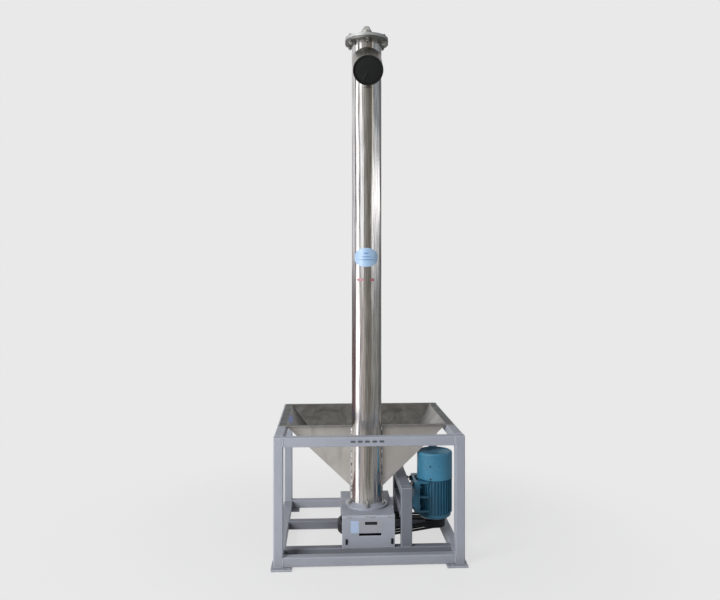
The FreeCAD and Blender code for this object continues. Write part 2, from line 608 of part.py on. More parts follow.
def groove_profile(rim, rise):
    """Corners of the belt grooves down a pulley's rim, from its underside up."""
    points = []
    for i in range(3):
        middle = "(%s + Sizes.pulley_height / 2 + %d * Sizes.groove_pitch)" % (rise, i - 1)
        points += [(rim, middle + " - Sizes.groove_mouth / 2"),
                   (rim + " - Sizes.groove_depth", middle + " - Sizes.groove_floor / 2"),
                   (rim + " - Sizes.groove_depth", middle + " + Sizes.groove_floor / 2"),
                   (rim, middle + " + Sizes.groove_mouth / 2")]
    return points


def pulleys():
    """Grooved driven pulley with a drilled web, and the small pulley on the motor's shaft."""
    driven = new_body("driven_pulley", 0, AXIS_Y, PULLEY_Z)
    rim = "Sizes.pulley_diameter / 2"
    inside = rim + " - Sizes.pulley_rim"
    web_low = "(Sizes.pulley_height - Sizes.pulley_web) / 2"
    web_high = "(Sizes.pulley_height + Sizes.pulley_web) / 2"
    turn(driven, [(JOURNAL_R, "0"), ("Sizes.pulley_hub / 2", "0"),
                  ("Sizes.pulley_hub / 2", web_low), (inside, web_low),
                  (inside, "0"), (rim, "0")]
         + groove_profile(rim, "0")
         + [(rim, "Sizes.pulley_height"), (inside, "Sizes.pulley_height"),
            (inside, web_high), ("Sizes.pulley_hub / 2", web_high),
            ("Sizes.pulley_hub / 2", "Sizes.pulley_height"), (JOURNAL_R, "Sizes.pulley_height")])
    middle = "(Sizes.pulley_diameter / 2 - Sizes.pulley_rim + Sizes.pulley_hub / 2) / 2"
    hole = drum(driven, "Subtractive", "Sizes.pulley_hub / 4", "Sizes.pulley_height", middle, 0, 0)
    ring_of(driven, hole, 6)

    small = new_body("motor_pulley", MOTOR_X, MOTOR_Y, PULLEY_Z)
    rim = "Sizes.motor_pulley_diameter / 2"
    shaft = "Sizes.motor_shaft / 2"
    top = "Sizes.pulley_height + Sizes.motor_gap + Sizes.shield_height / 2"
    turn(small, [("0", "0"), (rim, "0")] + groove_profile(rim, "0")
         + [(rim, "Sizes.pulley_height"), (shaft, "Sizes.pulley_height"), (shaft, top), ("0", top)])


def v_belts():
    """Three belts, each one closed loop round both pulleys."""
    large = size("Sizes.pulley_diameter / 2 - Sizes.belt_depth")
    small = size("Sizes.motor_pulley_diameter / 2 - Sizes.belt_depth")
    apart = math.hypot(size(MOTOR_X), size("Sizes.motor_back"))
    swing = math.degrees(math.atan2(size("Sizes.motor_back"), size(MOTOR_X)))
    lean_angle = math.acos((large - small) / apart)
    centre = FreeCAD.Vector(apart, 0, 0)

    def on(middle, radius, angle):
        return middle + FreeCAD.Vector(math.cos(angle), math.sin(angle), 0) * radius

    spine = Part.Wire([
        Part.LineSegment(on(FreeCAD.Vector(), large, lean_angle), on(centre, small, lean_angle)).toShape(),
        Part.Arc(on(centre, small, lean_angle), on(centre, small, 0), on(centre, small, -lean_angle)).toShape(),
        Part.LineSegment(on(centre, small, -lean_angle), on(FreeCAD.Vector(), large, -lean_angle)).toShape(),
        Part.Arc(on(FreeCAD.Vector(), large, -lean_angle), on(FreeCAD.Vector(), large, math.pi),
                 on(FreeCAD.Vector(), large, lean_angle)).toShape()])
    inner = size("Sizes.belt_bottom / 2")
    outer = size("Sizes.belt_top / 2")
    deep = size("Sizes.belt_depth")
    start = on(FreeCAD.Vector(), large, lean_angle)
    outward = FreeCAD.Vector(math.cos(lean_angle), math.sin(lean_angle), 0)
    up = AXES[2]
    corners = [start - up * inner, start + outward * deep - up * outer,
               start + outward * deep + up * outer, start + up * inner]
    loop = spine.makePipeShell([Part.makePolygon(corners + corners[:1])], True, False)
    loops = []
    for i in range(3):
        belt = loop.copy()
        belt.translate(up * size("Sizes.pulley_height / 2 + %d * Sizes.groove_pitch" % (i - 1)))
        loops.append(belt)
    belts = DOC.addObject("Part::Feature", "v_belts")
    belts.Label = "v_belts"
    belts.Shape = Part.makeCompound(loops)
    belts.Placement = FreeCAD.Placement(FreeCAD.Vector(), FreeCAD.Rotation(up, swing))
    place(belts, 0, AXIS_Y, PULLEY_Z)
    NODES.append(belts)


def drive_housing():
    """Top plate on a front and a back panel, with the lower bearing hung under it."""
    y = "(%s + Sizes.panel_setback)" % SUB_RAIL_Y
    back_y = "(%s + Sizes.back_panel_shift)" % MID_RAIL_Y
    plate = new_body("housing_top_plate", "-Sizes.housing_width / 2", y, "%s - Sizes.housing_plate" % PLATE_TOP)
    block(plate, "Additive", "Sizes.housing_width", "%s + Sizes.panel_thick - %s" % (back_y, y), "Sizes.housing_plate")
    drum(plate, "Subtractive", JOURNAL_R + " + Sizes.shaft_clearance", "Sizes.housing_plate",
         "Sizes.housing_width / 2", "%s - %s" % (AXIS_Y, y), 0)

    front = new_body("housing_front_panel", "-Sizes.housing_width / 2", y, RAIL_TOP)
    block(front, "Additive", "Sizes.housing_width", "Sizes.panel_thick", "Sizes.housing_height")
    block(front, "Subtractive", "Sizes.panel_slot_width", "Sizes.panel_thick", "Sizes.panel_slot_height",
          "(Sizes.housing_width - Sizes.panel_slot_width) / 2 + Sizes.panel_slot_shift", 0, "Sizes.panel_slot_rise")

    back = new_body("housing_back_panel", "-Sizes.housing_width / 2", back_y, RAIL_TOP)
    block(back, "Additive", "Sizes.housing_width", "Sizes.panel_thick", "Sizes.housing_height")

    drop = "%s - Sizes.housing_plate" % PLATE_TOP
    shoulder = "Sizes.lower_bearing_height - Sizes.lower_bearing_flange_thick"
    bearing = new_body("lower_bearing", 0, AXIS_Y, "%s - Sizes.lower_bearing_height" % drop)
    turn(bearing, [(BORE_R, "0"),
                   ("Sizes.lower_bearing_diameter / 2", "0"),
                   ("Sizes.lower_bearing_diameter / 2", shoulder),
                   ("Sizes.lower_bearing_flange / 2", shoulder),
                   ("Sizes.lower_bearing_flange / 2", "Sizes.lower_bearing_height"),
                   (BORE_R, "Sizes.lower_bearing_height")])


def motor():
    """Upright finned motor with its shaft down, on a plate hung beside it."""
    body = new_body("motor_body", MOTOR_X, MOTOR_Y, SHIELD_Z)
    bore = "(Sizes.motor_shaft / 2 + Sizes.journal_play)"
    rise = "Sizes.shield_height"
    top = "Sizes.shield_height + Sizes.core_height"
    turn(body, [(bore, "0"),
                ("Sizes.shield_diameter / 2 - Sizes.shield_chamfer", "0"),
                ("Sizes.shield_diameter / 2", "Sizes.shield_chamfer"),
                ("Sizes.shield_diameter / 2", rise),
                ("Sizes.core_diameter / 2", rise),
                ("Sizes.core_diameter / 2", top),
                ("0", top),
                ("0", rise),
                (bore, rise)])
    deep = "(Sizes.fin_diameter - Sizes.core_diameter) / 2 + Sizes.fin_root"
    fin = block(body, "Additive", deep, "Sizes.fin_thick", "Sizes.core_height",
                "Sizes.core_diameter / 2 - Sizes.fin_root", "-Sizes.fin_thick / 2", rise)
    ring_of(body, fin, 36)
    foot_y = "(Sizes.motor_foot_spread / 2 - Sizes.motor_foot_width)"
    for y in ("-Sizes.motor_foot_spread / 2", foot_y):
        block(body, "Additive", "Sizes.motor_foot_thick", "Sizes.motor_foot_width", "Sizes.motor_foot_length",
              "-Sizes.motor_centre_height", y, "Sizes.motor_foot_rise")
        for step in (0, 1, 2):
            block(body, "Additive", "Sizes.motor_centre_height - Sizes.core_diameter / 4",
                  "Sizes.motor_foot_width", "Sizes.motor_web_thick", "-Sizes.motor_centre_height", y,
                  "Sizes.motor_foot_rise + %d * (Sizes.motor_foot_length - Sizes.motor_web_thick) / 2" % step)

    cowl = new_body("motor_fan_cowl", MOTOR_X, MOTOR_Y, COWL_Z)
    drum(cowl, "Additive", "Sizes.cowl_diameter / 2", "Sizes.cowl_height")
    round_top(cowl, "Sizes.cowl_radius")
    drum(cowl, "Subtractive", "Sizes.cowl_dish / 2", "Sizes.cowl_dish_depth",
         0, 0, "Sizes.cowl_height - Sizes.cowl_dish_depth")
    slot = block(cowl, "Subtractive", "(Sizes.grille_outer - Sizes.grille_inner) / 2", "Sizes.grille_slot",
                 "Sizes.grille_depth", "Sizes.grille_inner / 2", "-Sizes.grille_slot / 2",
                 "Sizes.cowl_height - Sizes.cowl_dish_depth - Sizes.grille_depth")
    ring_of(cowl, slot, 20)

    box = new_body("terminal_box", MOTOR_X + " - Sizes.terminal_width / 2",
                   "%s + Sizes.fin_diameter / 2" % MOTOR_Y, CORE_Z + " + Sizes.terminal_rise")
    block(box, "Additive", "Sizes.terminal_width", "Sizes.terminal_depth", "Sizes.terminal_height")
    round_edges(box, AXES[1], "Sizes.terminal_radius")

    mount = new_body("motor_mount_plate", MOUNT_X, "%s - Sizes.motor_foot_spread / 2" % MOTOR_Y, FOOT_Z)
    block(mount, "Additive", "Sizes.mount_plate_thick", "Sizes.motor_foot_spread", "Sizes.motor_foot_length")


def motor_bracket():
    """Welded bracket on the cross rails that carries the motor on four tension rods."""
    width = "Sizes.bracket_width"
    tall = "Sizes.bracket_height - %s" % RAIL_TOP
    span = "%s - %s - Sizes.bar_size" % (MID_RAIL_Y, SUB_RAIL_Y)
    pair = DOC.addObject("Part::Compound", "bracket_posts")
    pair.Label = "bracket_posts"
    pair.Links = [tube_bar("BracketPost", 2, tall, "Sizes.bracket_left", y, RAIL_TOP, width, "Sizes.bar_wall")
                  for y in (SUB_RAIL_Y, MID_RAIL_Y)]
    del NODES[-2:]
    NODES.append(pair)
    for name, z in (("top", "Sizes.bracket_height - Sizes.bar_size"), ("lower", "Sizes.bracket_lower")):
        tube_bar("bracket_%s_rail" % name, 1, span, "Sizes.bracket_left",
                 "%s + Sizes.bar_size" % SUB_RAIL_Y, z, width)

    start = "(Sizes.bracket_left + %s)" % width
    near = "(%s - Sizes.motor_foot_spread / 2 + Sizes.rod_inset)" % MOTOR_Y
    far = "(%s + Sizes.motor_foot_spread / 2 - Sizes.rod_inset)" % MOTOR_Y
    rods = []
    for z in ("Sizes.bracket_height - Sizes.bar_size / 2", "Sizes.bracket_lower + Sizes.bar_size / 2"):
        for y in (near, far):
            rod = DOC.addObject("Part::Cylinder", "Rod")
            rod.Placement = FreeCAD.Placement(FreeCAD.Vector(), FreeCAD.Rotation(AXES[1], 90))
            bind(rod, Radius="Sizes.rod_diameter / 2", Height="%s - %s" % (MOUNT_X, start))
            place(rod, start, y, z)
            rods.append(rod)
    group = DOC.addObject("Part::Compound", "tension_rods")
    group.Label = "tension_rods"
    group.Links = rods
    NODES.append(group)


stand()
foot_plates()
hopper()
conveyor_tube()
discharge_spout()
tube_ends()
screw()
pulleys()
v_belts()
drive_housing()
motor()
motor_bracket()
DOC.recompute()

for item in DOC.Objects:
    if {"Invalid", "Error"} & set(item.State):
        raise RuntimeError("%s (%s) did not compute: %s" % (item.Label, item.Name, item.State))

os.makedirs("parts", exist_ok=True)
for node in NODES:
    if node.Shape.isNull() or not node.Shape.isValid() or not node.Shape.Solids:
        raise RuntimeError("%s has no valid solid" % node.Label)
    node.Shape.exportStep("parts/%s.step" % node.Label)
    print("%-26s %2d solid(s) %10.1f cm3" % (node.Label, len(node.Shape.Solids), node.Shape.Volume / 1000))
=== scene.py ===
import math
import random

import bmesh
import bpy
from bpy.props import FloatProperty, FloatVectorProperty, IntProperty, PointerProperty
from mathutils import Matrix, Vector


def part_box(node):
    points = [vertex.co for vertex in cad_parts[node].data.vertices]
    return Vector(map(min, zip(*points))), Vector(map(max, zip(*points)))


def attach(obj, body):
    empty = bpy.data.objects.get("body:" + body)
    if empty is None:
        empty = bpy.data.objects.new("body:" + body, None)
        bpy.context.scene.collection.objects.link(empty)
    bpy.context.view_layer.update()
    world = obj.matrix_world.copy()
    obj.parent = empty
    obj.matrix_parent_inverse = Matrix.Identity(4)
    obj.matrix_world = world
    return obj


bl_info = {
    "name": "Vertical Screw Conveyor Looks",
    "version": (1, 0, 0),
    "blender": (4, 5, 0),
    "location": "View3D > Sidebar > Conveyor",
    "description": "Finishes, fixings, plates and studio stage of an upright screw conveyor",
    "category": "Object",
}

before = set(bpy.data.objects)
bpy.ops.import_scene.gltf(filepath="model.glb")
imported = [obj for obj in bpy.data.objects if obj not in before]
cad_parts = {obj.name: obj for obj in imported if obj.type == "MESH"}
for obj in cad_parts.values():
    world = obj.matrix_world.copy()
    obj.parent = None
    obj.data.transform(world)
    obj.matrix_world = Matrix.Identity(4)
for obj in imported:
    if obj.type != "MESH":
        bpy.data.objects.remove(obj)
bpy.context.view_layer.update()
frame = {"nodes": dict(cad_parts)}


def linear(code):
    """Linear colour with full alpha from an sRGB hex code."""
    channels = [int(code[i:i + 2], 16) / 255 for i in (1, 3, 5)]
    return [c / 12.92 if c <= 0.04045 else ((c + 0.055) / 1.055) ** 2.4 for c in channels] + [1.0]


def per_metre(millimetres):
    """Texture scale whose features are that many millimetres apart."""
    return 1000 / millimetres


# Places taken from the frame, and directions.
TUBE_LOW, TUBE_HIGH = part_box("conveyor_tube")
TUBE_RADIUS = (TUBE_HIGH.x - TUBE_LOW.x) / 2
AXIS = Vector(((TUBE_LOW.x + TUBE_HIGH.x) / 2, TUBE_HIGH.y - TUBE_RADIUS, 0))
COWL_LOW, COWL_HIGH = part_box("motor_fan_cowl")
COWL_RADIUS = (COWL_HIGH.x - COWL_LOW.x) / 2
MOTOR_AXIS = Vector(((COWL_LOW.x + COWL_HIGH.x) / 2, (COWL_LOW.y + COWL_HIGH.y) / 2, 0))
SPOUT_SLOPE = math.radians(35)
UP, DOWN = Vector((0, 0, 1)), Vector((0, 0, -1))
RIGHT, LEFT = Vector((1, 0, 0)), Vector((-1, 0, 0))
FRONT, BACK = Vector((0, -1, 0)), Vector((0, 1, 0))


def length(name, description, default):
    """Setting for a length in metres."""
    return FloatProperty(name=name, description=description, default=default, unit="LENGTH", min=0)


def colour(name, description, code):
    """Setting for a colour, with an sRGB hex code as its default."""
    return FloatVectorProperty(name=name, description=description, default=linear(code)[:3],
                               subtype="COLOR", size=3, min=0, max=1)


class ConveyorSizes(bpy.types.PropertyGroup):
    """Sizes of the small pieces"""
    flange_bolt: length("Flange bolt", "Thread of the bolts through the top flange", 0.012)
    flange_bolt_circle: length("Flange bolt circle", "Across the ring of those bolts", 0.212)
    cap_screw: length("Cap screw", "Thread of the screws that hold the top bearing", 0.006)
    flap_radius: length("Flap radius", "Rubber flap inside the discharge mouth", 0.0765)
    flap_thick: length("Flap thickness", "Rubber flap inside the discharge mouth", 0.0015)
    flap_depth: length("Flap depth", "Mouth's lip to the flap's rim", 0.007)
    base_stud: length("Base stud", "Thread of the studs in the base flange", 0.012)
    base_stud_reach: length("Base stud reach", "Stud above the base flange", 0.034)
    foot_bolt: length("Foot bolt", "Thread of the bolts through the motor's feet", 0.010)
    rod_nut: length("Rod nut", "Thread of the motor bracket's tension rods", 0.012)
    cowl_screw: length("Cowl screw", "Thread of the screws round the fan cowl", 0.005)
    weld_bead: length("Weld bead", "Radius of the welds on the stand", 0.0022)
    seam_bead: length("Seam bead", "Radius of the bead between hopper and tube", 0.0034)
    label_width: length("Label width", "Oval label, measured round the tube", 0.146)
    label_height: length("Label height", "Oval label, up the tube", 0.105)
    label_level: length("Label level", "Ground to the oval label's middle", 1.6215)
    sheet_thick: length("Sheet thickness", "Thickness of labels and plates", 0.0006)


class ConveyorColours(bpy.types.PropertyGroup):
    """Colours of the painted and printed surfaces"""
    frame: colour("Frame enamel", "Grey enamel of stand, bracket and housing", "#A3A7B1")
    frame_shade: colour("Frame enamel, thin", "Where the grey enamel lies thinner", "#979BA6")
    # painted shade: the bracket's two greys are the frame's enamel made darker, standing for the
    # shade the bracket and cross rails sit in
    bracket: colour("Bracket enamel", "Darker grey enamel of the motor bracket", "#7D818B")
    shaded_bracket_thin: colour("Bracket enamel, thin", "Where that enamel lies thinner", "#6C7079")
    # painted shade: the castings get a darker blue than the cowl, standing for the shade between
    # the fins
    motor: colour("Motor enamel", "Blue enamel of the motor's castings", "#34728F")
    cowl: colour("Cowl enamel", "Blue enamel of the pressed fan cowl", "#488FB0")
    label: colour("Label", "Pale blue vinyl of the oval label", "#93B3D5")
    sticker: colour("Sticker", "Blue-grey vinyl of the square sticker", "#A6B9D8")


class ConveyorSettings(bpy.types.PropertyGroup):
    """All settings of the conveyor's looks"""
    seed: IntProperty(name="Seed", description="Seed of the uneven welds", default=7, min=0)
    sizes: PointerProperty(
        type=ConveyorSizes, name="Sizes", description="Sizes of the small pieces")
    colours: PointerProperty(
        type=ConveyorColours, name="Colours", description="Colours of paint, label and sticker")


def settings():
    """The scene's settings of the conveyor."""
    return bpy.context.scene.conveyor


# Materials

FINISHES = {}
# A mix node's sockets for its first and its second colour.
MIX_A, MIX_B = 6, 7


def plug(tree, inputs, sources):
    """Links inputs to outputs; a node stands for its first output in use."""
    for name, source in sources.items():
        if hasattr(source, "outputs"):
            source = next(output for output in source.outputs if output.enabled)
        tree.links.new(source, inputs[name])


def add_node(tree, kind, values=None, links=None):
    """Adds a shader node, sets its options and socket values, and links its inputs."""
    made = tree.nodes.new(kind)
    for name, value in (values or {}).items():
        if isinstance(name, str) and hasattr(made, name):
            setattr(made, name, value)
        else:
            made.inputs[name].default_value = value
    plug(tree, made.inputs, links or {})
    return made


def start_finish(name, **sockets):
    """New material in FINISHES; sockets are values of its shader, with _ for a space."""
    made = bpy.data.materials.new(name)
    made.use_nodes = True
    FINISHES[name] = made
    shader = made.node_tree.nodes["Principled BSDF"]
    for socket, value in sockets.items():
        shader.inputs[socket.replace("_", " ")].default_value = value
    return made.node_tree, shader, add_node(made.node_tree, "ShaderNodeTexCoord").outputs["Object"]


def rgba(colour_property):
    """A colour setting with full alpha."""
    return list(colour_property) + [1.0]


def grey_enamel(name, thin, thick, smooth=0.42, dull=0.56, shine=0.22):
    """Satin grey enamel, sprayed on steel tube: even, a little cloudy, dusty near the floor, with
    painted highlights along the corners.
    """
    tree, shader, place = start_finish(name, Specular_IOR_Level=shine)
    # spray passes about 240 mm apart leave the coat thicker and thinner
    cloud = add_node(tree, "ShaderNodeTexNoise", {"Scale": per_metre(240), "Detail": 4.0},
                     {"Vector": place})
    coat = add_node(tree, "ShaderNodeMix",
                    {"data_type": "RGBA", MIX_A: rgba(thin), MIX_B: rgba(thick)}, {0: cloud})
    height = add_node(tree, "ShaderNodeSeparateXYZ", links={"Vector": place}).outputs["Z"]
    low = add_node(tree, "ShaderNodeMapRange",
                   {"From Min": 0.0, "From Max": 0.11, "To Min": 0.55, "To Max": 0.0},
                   {"Value": height})
    # grit of about 9 mm gathers on the lowest tubes
    grit = add_node(tree, "ShaderNodeTexNoise", {"Scale": per_metre(9), "Detail": 6.0},
                    {"Vector": place})
    dusty = add_node(tree, "ShaderNodeMath", {"operation": "MULTIPLY"}, {0: low, 1: grit})
    dirty = add_node(tree, "ShaderNodeMix", {"data_type": "RGBA", MIX_B: linear("#7C7A76")},
                     {0: dusty, MIX_A: coat})
    gloss = add_node(tree, "ShaderNodeMapRange", {"To Min": smooth, "To Max": dull},
                     {"Value": cloud})
    # orange peel is about 1.5 mm across and is drawn at 4 mm, so that it shows
    peel = add_node(tree, "ShaderNodeTexNoise", {"Scale": per_metre(4), "Detail": 2.0},
                    {"Vector": place})
    # the tubes' corners are rolled to about 4 mm
    corner = add_node(tree, "ShaderNodeBevel", {"samples": 4, "Radius": 0.004})
    # painted highlight: within 6.5 mm of the corners the colour is lifted towards pale grey, fine
    # pale lines that stand for the light the rounded corners catch
    flat = add_node(tree, "ShaderNodeNewGeometry").outputs["True Normal"]
    edge = add_node(tree, "ShaderNodeBevel", {"samples": 6, "Radius": 0.0065})
    round_off = add_node(tree, "ShaderNodeVectorMath", {"operation": "DOT_PRODUCT"},
                         {0: edge, 1: flat})
    painted_corner_highlight = add_node(tree, "ShaderNodeMapRange",
                         {"From Min": 0.995, "From Max": 0.86, "To Min": 0.0, "To Max": 0.65},
                         {"Value": round_off})
    # the painted corner highlight is mixed into the enamel's colour here
    highlighted_colour = add_node(tree, "ShaderNodeMix", {"data_type": "RGBA", MIX_B: linear("#DADDE9")},
                     {0: painted_corner_highlight, MIX_A: dirty})
    bump = add_node(tree, "ShaderNodeBump", {"Strength": 0.35, "Distance": 0.0001},
                    {"Height": peel, "Normal": corner})
    plug(tree, shader.inputs, {"Base Color": highlighted_colour, "Roughness": gloss, "Normal": bump})


def mirror_stainless(name):
    """Stainless tube, polished by a belt that runs round it: sharp bands run down it."""
    tree, shader, place = start_finish(name, Metallic=1.0, Anisotropic=0.85,
                                       Anisotropic_Rotation=0.25)
    # rolled flats about 26 mm wide run down the tube and drift over half a metre
    long_way = add_node(tree, "ShaderNodeMapping", {"Scale": (1, 1, 0.045)}, {"Vector": place})
    flats = add_node(tree, "ShaderNodeTexNoise",
                     {"Scale": per_metre(26), "Detail": 2.0, "Roughness": 0.6},
                     {"Vector": long_way})
    # drawing lines are under 1 mm apart and are drawn 7 mm apart, the finest that show
    lines = add_node(tree, "ShaderNodeTexNoise", {"Scale": per_metre(7), "Detail": 1.0},
                     {"Vector": long_way})
    streak = add_node(tree, "ShaderNodeMapRange", {"From Min": 0.34, "From Max": 0.66},
                      {"Value": lines})
    tone = add_node(tree, "ShaderNodeMix",
                    {"data_type": "RGBA", MIX_A: linear("#C6C3C1"), MIX_B: linear("#EDEBEA")},
                    {0: streak})
    wavy = add_node(tree, "ShaderNodeBump", {"Strength": 1.0, "Distance": 0.0006},
                    {"Height": flats})
    lined = add_node(tree, "ShaderNodeBump", {"Strength": 1.0, "Distance": 0.0004},
                     {"Height": lines, "Normal": wavy})
    # hands and cloths have left smears about 160 mm apart
    smear = add_node(tree, "ShaderNodeTexNoise", {"Scale": per_metre(160), "Detail": 3.0},
                     {"Vector": place})
    gloss = add_node(tree, "ShaderNodeMapRange", {"To Min": 0.12, "To Max": 0.24}, {"Value": smear})
    round_way = add_node(tree, "ShaderNodeTangent", {"direction_type": "RADIAL", "axis": "Z"})
    plug(tree, shader.inputs,
         {"Base Color": tone, "Roughness": gloss, "Normal": lined, "Tangent": round_way})


def sheet_stainless(name, caked_in_shade, scoured):
    """Stainless sheet, cold rolled and brushed: soft buckled reflections; the upward inner slopes
    are greyer, painted shade with smears of feed in it.
    """
    tree, shader, place = start_finish(name, Metallic=1.0)
    # brush lines are about 0.3 mm apart and are drawn 3 mm apart
    level_way = add_node(tree, "ShaderNodeMapping", {"Scale": (0.06, 0.06, 1)}, {"Vector": place})
    grain = add_node(tree, "ShaderNodeTexNoise", {"Scale": per_metre(3), "Detail": 4.0},
                     {"Vector": level_way})
    # the sheet buckles between its welds, one swell each 190 mm
    swell = add_node(tree, "ShaderNodeTexNoise",
                     {"Scale": per_metre(190), "Detail": 2.5, "Distortion": 0.6}, {"Vector": place})
    buckled = add_node(tree, "ShaderNodeBump", {"Strength": 1.0, "Distance": 0.012},
                       {"Height": swell})
    brushed = add_node(tree, "ShaderNodeBump", {"Strength": 0.3, "Distance": 0.00012},
                       {"Height": grain, "Normal": buckled})
    flat = add_node(tree, "ShaderNodeNewGeometry").outputs["True Normal"]
    tilt = add_node(tree, "ShaderNodeSeparateXYZ", links={"Vector": flat}).outputs["Z"]
    upward = add_node(tree, "ShaderNodeMapRange", {"From Min": 0.2, "From Max": 0.6},
                      {"Value": tilt})
    # feed has dried in smears about 110 mm apart
    smear = add_node(tree, "ShaderNodeTexNoise",
                     {"Scale": per_metre(110), "Detail": 6.0, "Roughness": 0.62, "Distortion": 0.9},
                     {"Vector": place})
    smeared = add_node(tree, "ShaderNodeMapRange", {"From Min": 0.3, "From Max": 0.75},
                       {"Value": smear})
    # painted shade: the upward inner slopes, the inside of the hopper, are darkened to these tones,
    # with the feed smears in them
    shade_and_residue = add_node(tree, "ShaderNodeMix",
                       {"data_type": "RGBA", MIX_A: linear(caked_in_shade), MIX_B: linear(scoured)},
                       {0: smeared})
    clean = add_node(tree, "ShaderNodeMix",
                     {"data_type": "RGBA", MIX_A: linear("#CECAC5"), MIX_B: linear("#E0DEDB")},
                     {0: swell})
    # hands have dulled the upright sheets below the rim
    height = add_node(tree, "ShaderNodeSeparateXYZ", links={"Vector": place}).outputs["Z"]
    reach = add_node(tree, "ShaderNodeMapRange",
                     {"From Min": 0.57, "From Max": 0.67, "To Max": 0.75}, {"Value": height})
    handled = add_node(tree, "ShaderNodeMix", {"data_type": "RGBA", MIX_B: linear("#9F9B97")},
                       {0: reach, MIX_A: clean})
    sheet = add_node(tree, "ShaderNodeMix", {"data_type": "RGBA"},
                     {0: upward, MIX_A: handled, MIX_B: shade_and_residue})
    # the level rim is given a dark grey and little metal
    level_rim = add_node(tree, "ShaderNodeMapRange", {"From Min": 0.85, "From Max": 0.97},
                         {"Value": tilt})
    tone = add_node(tree, "ShaderNodeMix", {"data_type": "RGBA", MIX_B: linear("#565958")},
                    {0: level_rim, MIX_A: sheet})
    bare = add_node(tree, "ShaderNodeMapRange", {"To Min": 1.0, "To Max": 0.0},
                    {"Value": level_rim})
    sheen = add_node(tree, "ShaderNodeMapRange", {"To Min": 0.5, "To Max": 0.04},
                     {"Value": level_rim})
    dull = add_node(tree, "ShaderNodeMapRange", {"To Min": 0.56, "To Max": 0.32}, {"Value": upward})
    gloss = add_node(tree, "ShaderNodeMath", {"operation": "MULTIPLY_ADD", 1: 0.1},
                     {0: grain, 2: dull})
    plug(tree, shader.inputs,
         {"Base Color": tone, "Metallic": bare, "Roughness": gloss, "Normal": brushed,
          "Specular IOR Level": sheen})


def turned_stainless(name, tone, roughness, metallic=1.0):
    """Stainless flange, faced on a lathe: fine rings about the tube's axis, dulled by dust."""
    tree, shader, place = start_finish(name, Metallic=metallic, Base_Color=linear(tone),
                                       Roughness=roughness)
    centred = add_node(tree, "ShaderNodeMapping", {"Location": (-AXIS.x, -AXIS.y, 0)},
                       {"Vector": place})
    # tool marks are about 0.2 mm apart and are drawn 2.5 mm apart
    rings = add_node(tree, "ShaderNodeTexWave",
                     {"wave_type": "RINGS", "rings_direction": "Z", "Distortion": 0.4,
                      "Scale": per_metre(2.5) / (2 * math.pi)}, {"Vector": centred})
    bump = add_node(tree, "ShaderNodeBump", {"Strength": 0.3, "Distance": 0.00008},
                    {"Height": rings.outputs["Fac"]})
    plug(tree, shader.inputs, {"Normal": bump})


def grainy_metal(name, dark, light, roughness, metallic, grain_mm, depth, contrast=1.0):
    """Metal with a cast, worn or fused grain of that many millimetres, in patches of twelve."""
    tree, shader, place = start_finish(name, Metallic=metallic, Roughness=roughness)
    patches = add_node(tree, "ShaderNodeTexNoise",
                       {"Scale": per_metre(grain_mm * 12), "Detail": 5.0}, {"Vector": place})
    grain = add_node(tree, "ShaderNodeTexNoise", {"Scale": per_metre(grain_mm), "Detail": 4.0},
                     {"Vector": place})
    share = add_node(tree, "ShaderNodeMapRange",
                     {"From Min": 0.5 - 0.5 / contrast, "From Max": 0.5 + 0.5 / contrast},
                     {"Value": patches})
    tone = add_node(tree, "ShaderNodeMix",
                    {"data_type": "RGBA", MIX_A: linear(dark), MIX_B: linear(light)}, {0: share})
    bump = add_node(tree, "ShaderNodeBump", {"Strength": 0.5, "Distance": depth}, {"Height": grain})
    plug(tree, shader.inputs, {"Base Color": tone, "Normal": bump})


def motor_enamel(name, coat):
    """Blue enamel on castings or pressed sheet: glossy skin, darker specks where dust sticks."""
    tree, shader, place = start_finish(name, Roughness=0.34, Specular_IOR_Level=0.5)
    # dust gathers in specks of about 14 mm
    specks = add_node(tree, "ShaderNodeTexNoise", {"Scale": per_metre(14), "Detail": 6.0},
                      {"Vector": place})
    share = add_node(tree, "ShaderNodeMapRange", {"From Min": 0.35, "From Max": 0.8, "To Max": 0.3},
                     {"Value": specks})
    tone = add_node(tree, "ShaderNodeMix",
                    {"data_type": "RGBA", MIX_A: rgba(coat), MIX_B: linear("#35525F")}, {0: share})
    # the cast skin under the paint has a 3 mm grain
    skin = add_node(tree, "ShaderNodeTexNoise", {"Scale": per_metre(3), "Detail": 2.0},
                    {"Vector": place})
    # cast and pressed corners are rounded by about 2 mm
    corner = add_node(tree, "ShaderNodeBevel", {"samples": 4, "Radius": 0.002})
    bump = add_node(tree, "ShaderNodeBump", {"Strength": 0.3, "Distance": 0.0001},
                    {"Height": skin, "Normal": corner})
    plug(tree, shader.inputs, {"Base Color": tone, "Normal": bump})


def black_rubber(name, code, roughness, weave_mm):
    """Moulded rubber with a cloth grain pressed into it."""
    tree, shader, place = start_finish(name, Base_Color=linear(code), Roughness=roughness,
                                       IOR=1.52, Specular_IOR_Level=0.3)
    cloth = add_node(tree, "ShaderNodeTexVoronoi", {"Scale": per_metre(weave_mm)},
                     {"Vector": place})
    bump = add_node(tree, "ShaderNodeBump", {"Strength": 0.4, "Distance": 0.0002},
                    {"Height": cloth})
    plug(tree, shader.inputs, {"Normal": bump})


def vinyl(name, coat, faded=0.25):
    """Printed vinyl sheet: smooth, half gloss, slightly faded in patches."""
    tree, shader, place = start_finish(name, Roughness=0.38, IOR=1.53)
    # the colour has faded in patches of about 40 mm
    fade = add_node(tree, "ShaderNodeTexNoise", {"Scale": per_metre(40), "Detail": 3.0},
                    {"Vector": place})
    share = add_node(tree, "ShaderNodeMapRange", {"To Max": faded}, {"Value": fade})
    tone = add_node(tree, "ShaderNodeMix",
                    {"data_type": "RGBA", MIX_A: coat, MIX_B: linear("#D5E4F2")}, {0: share})
    plug(tree, shader.inputs, {"Base Color": tone})


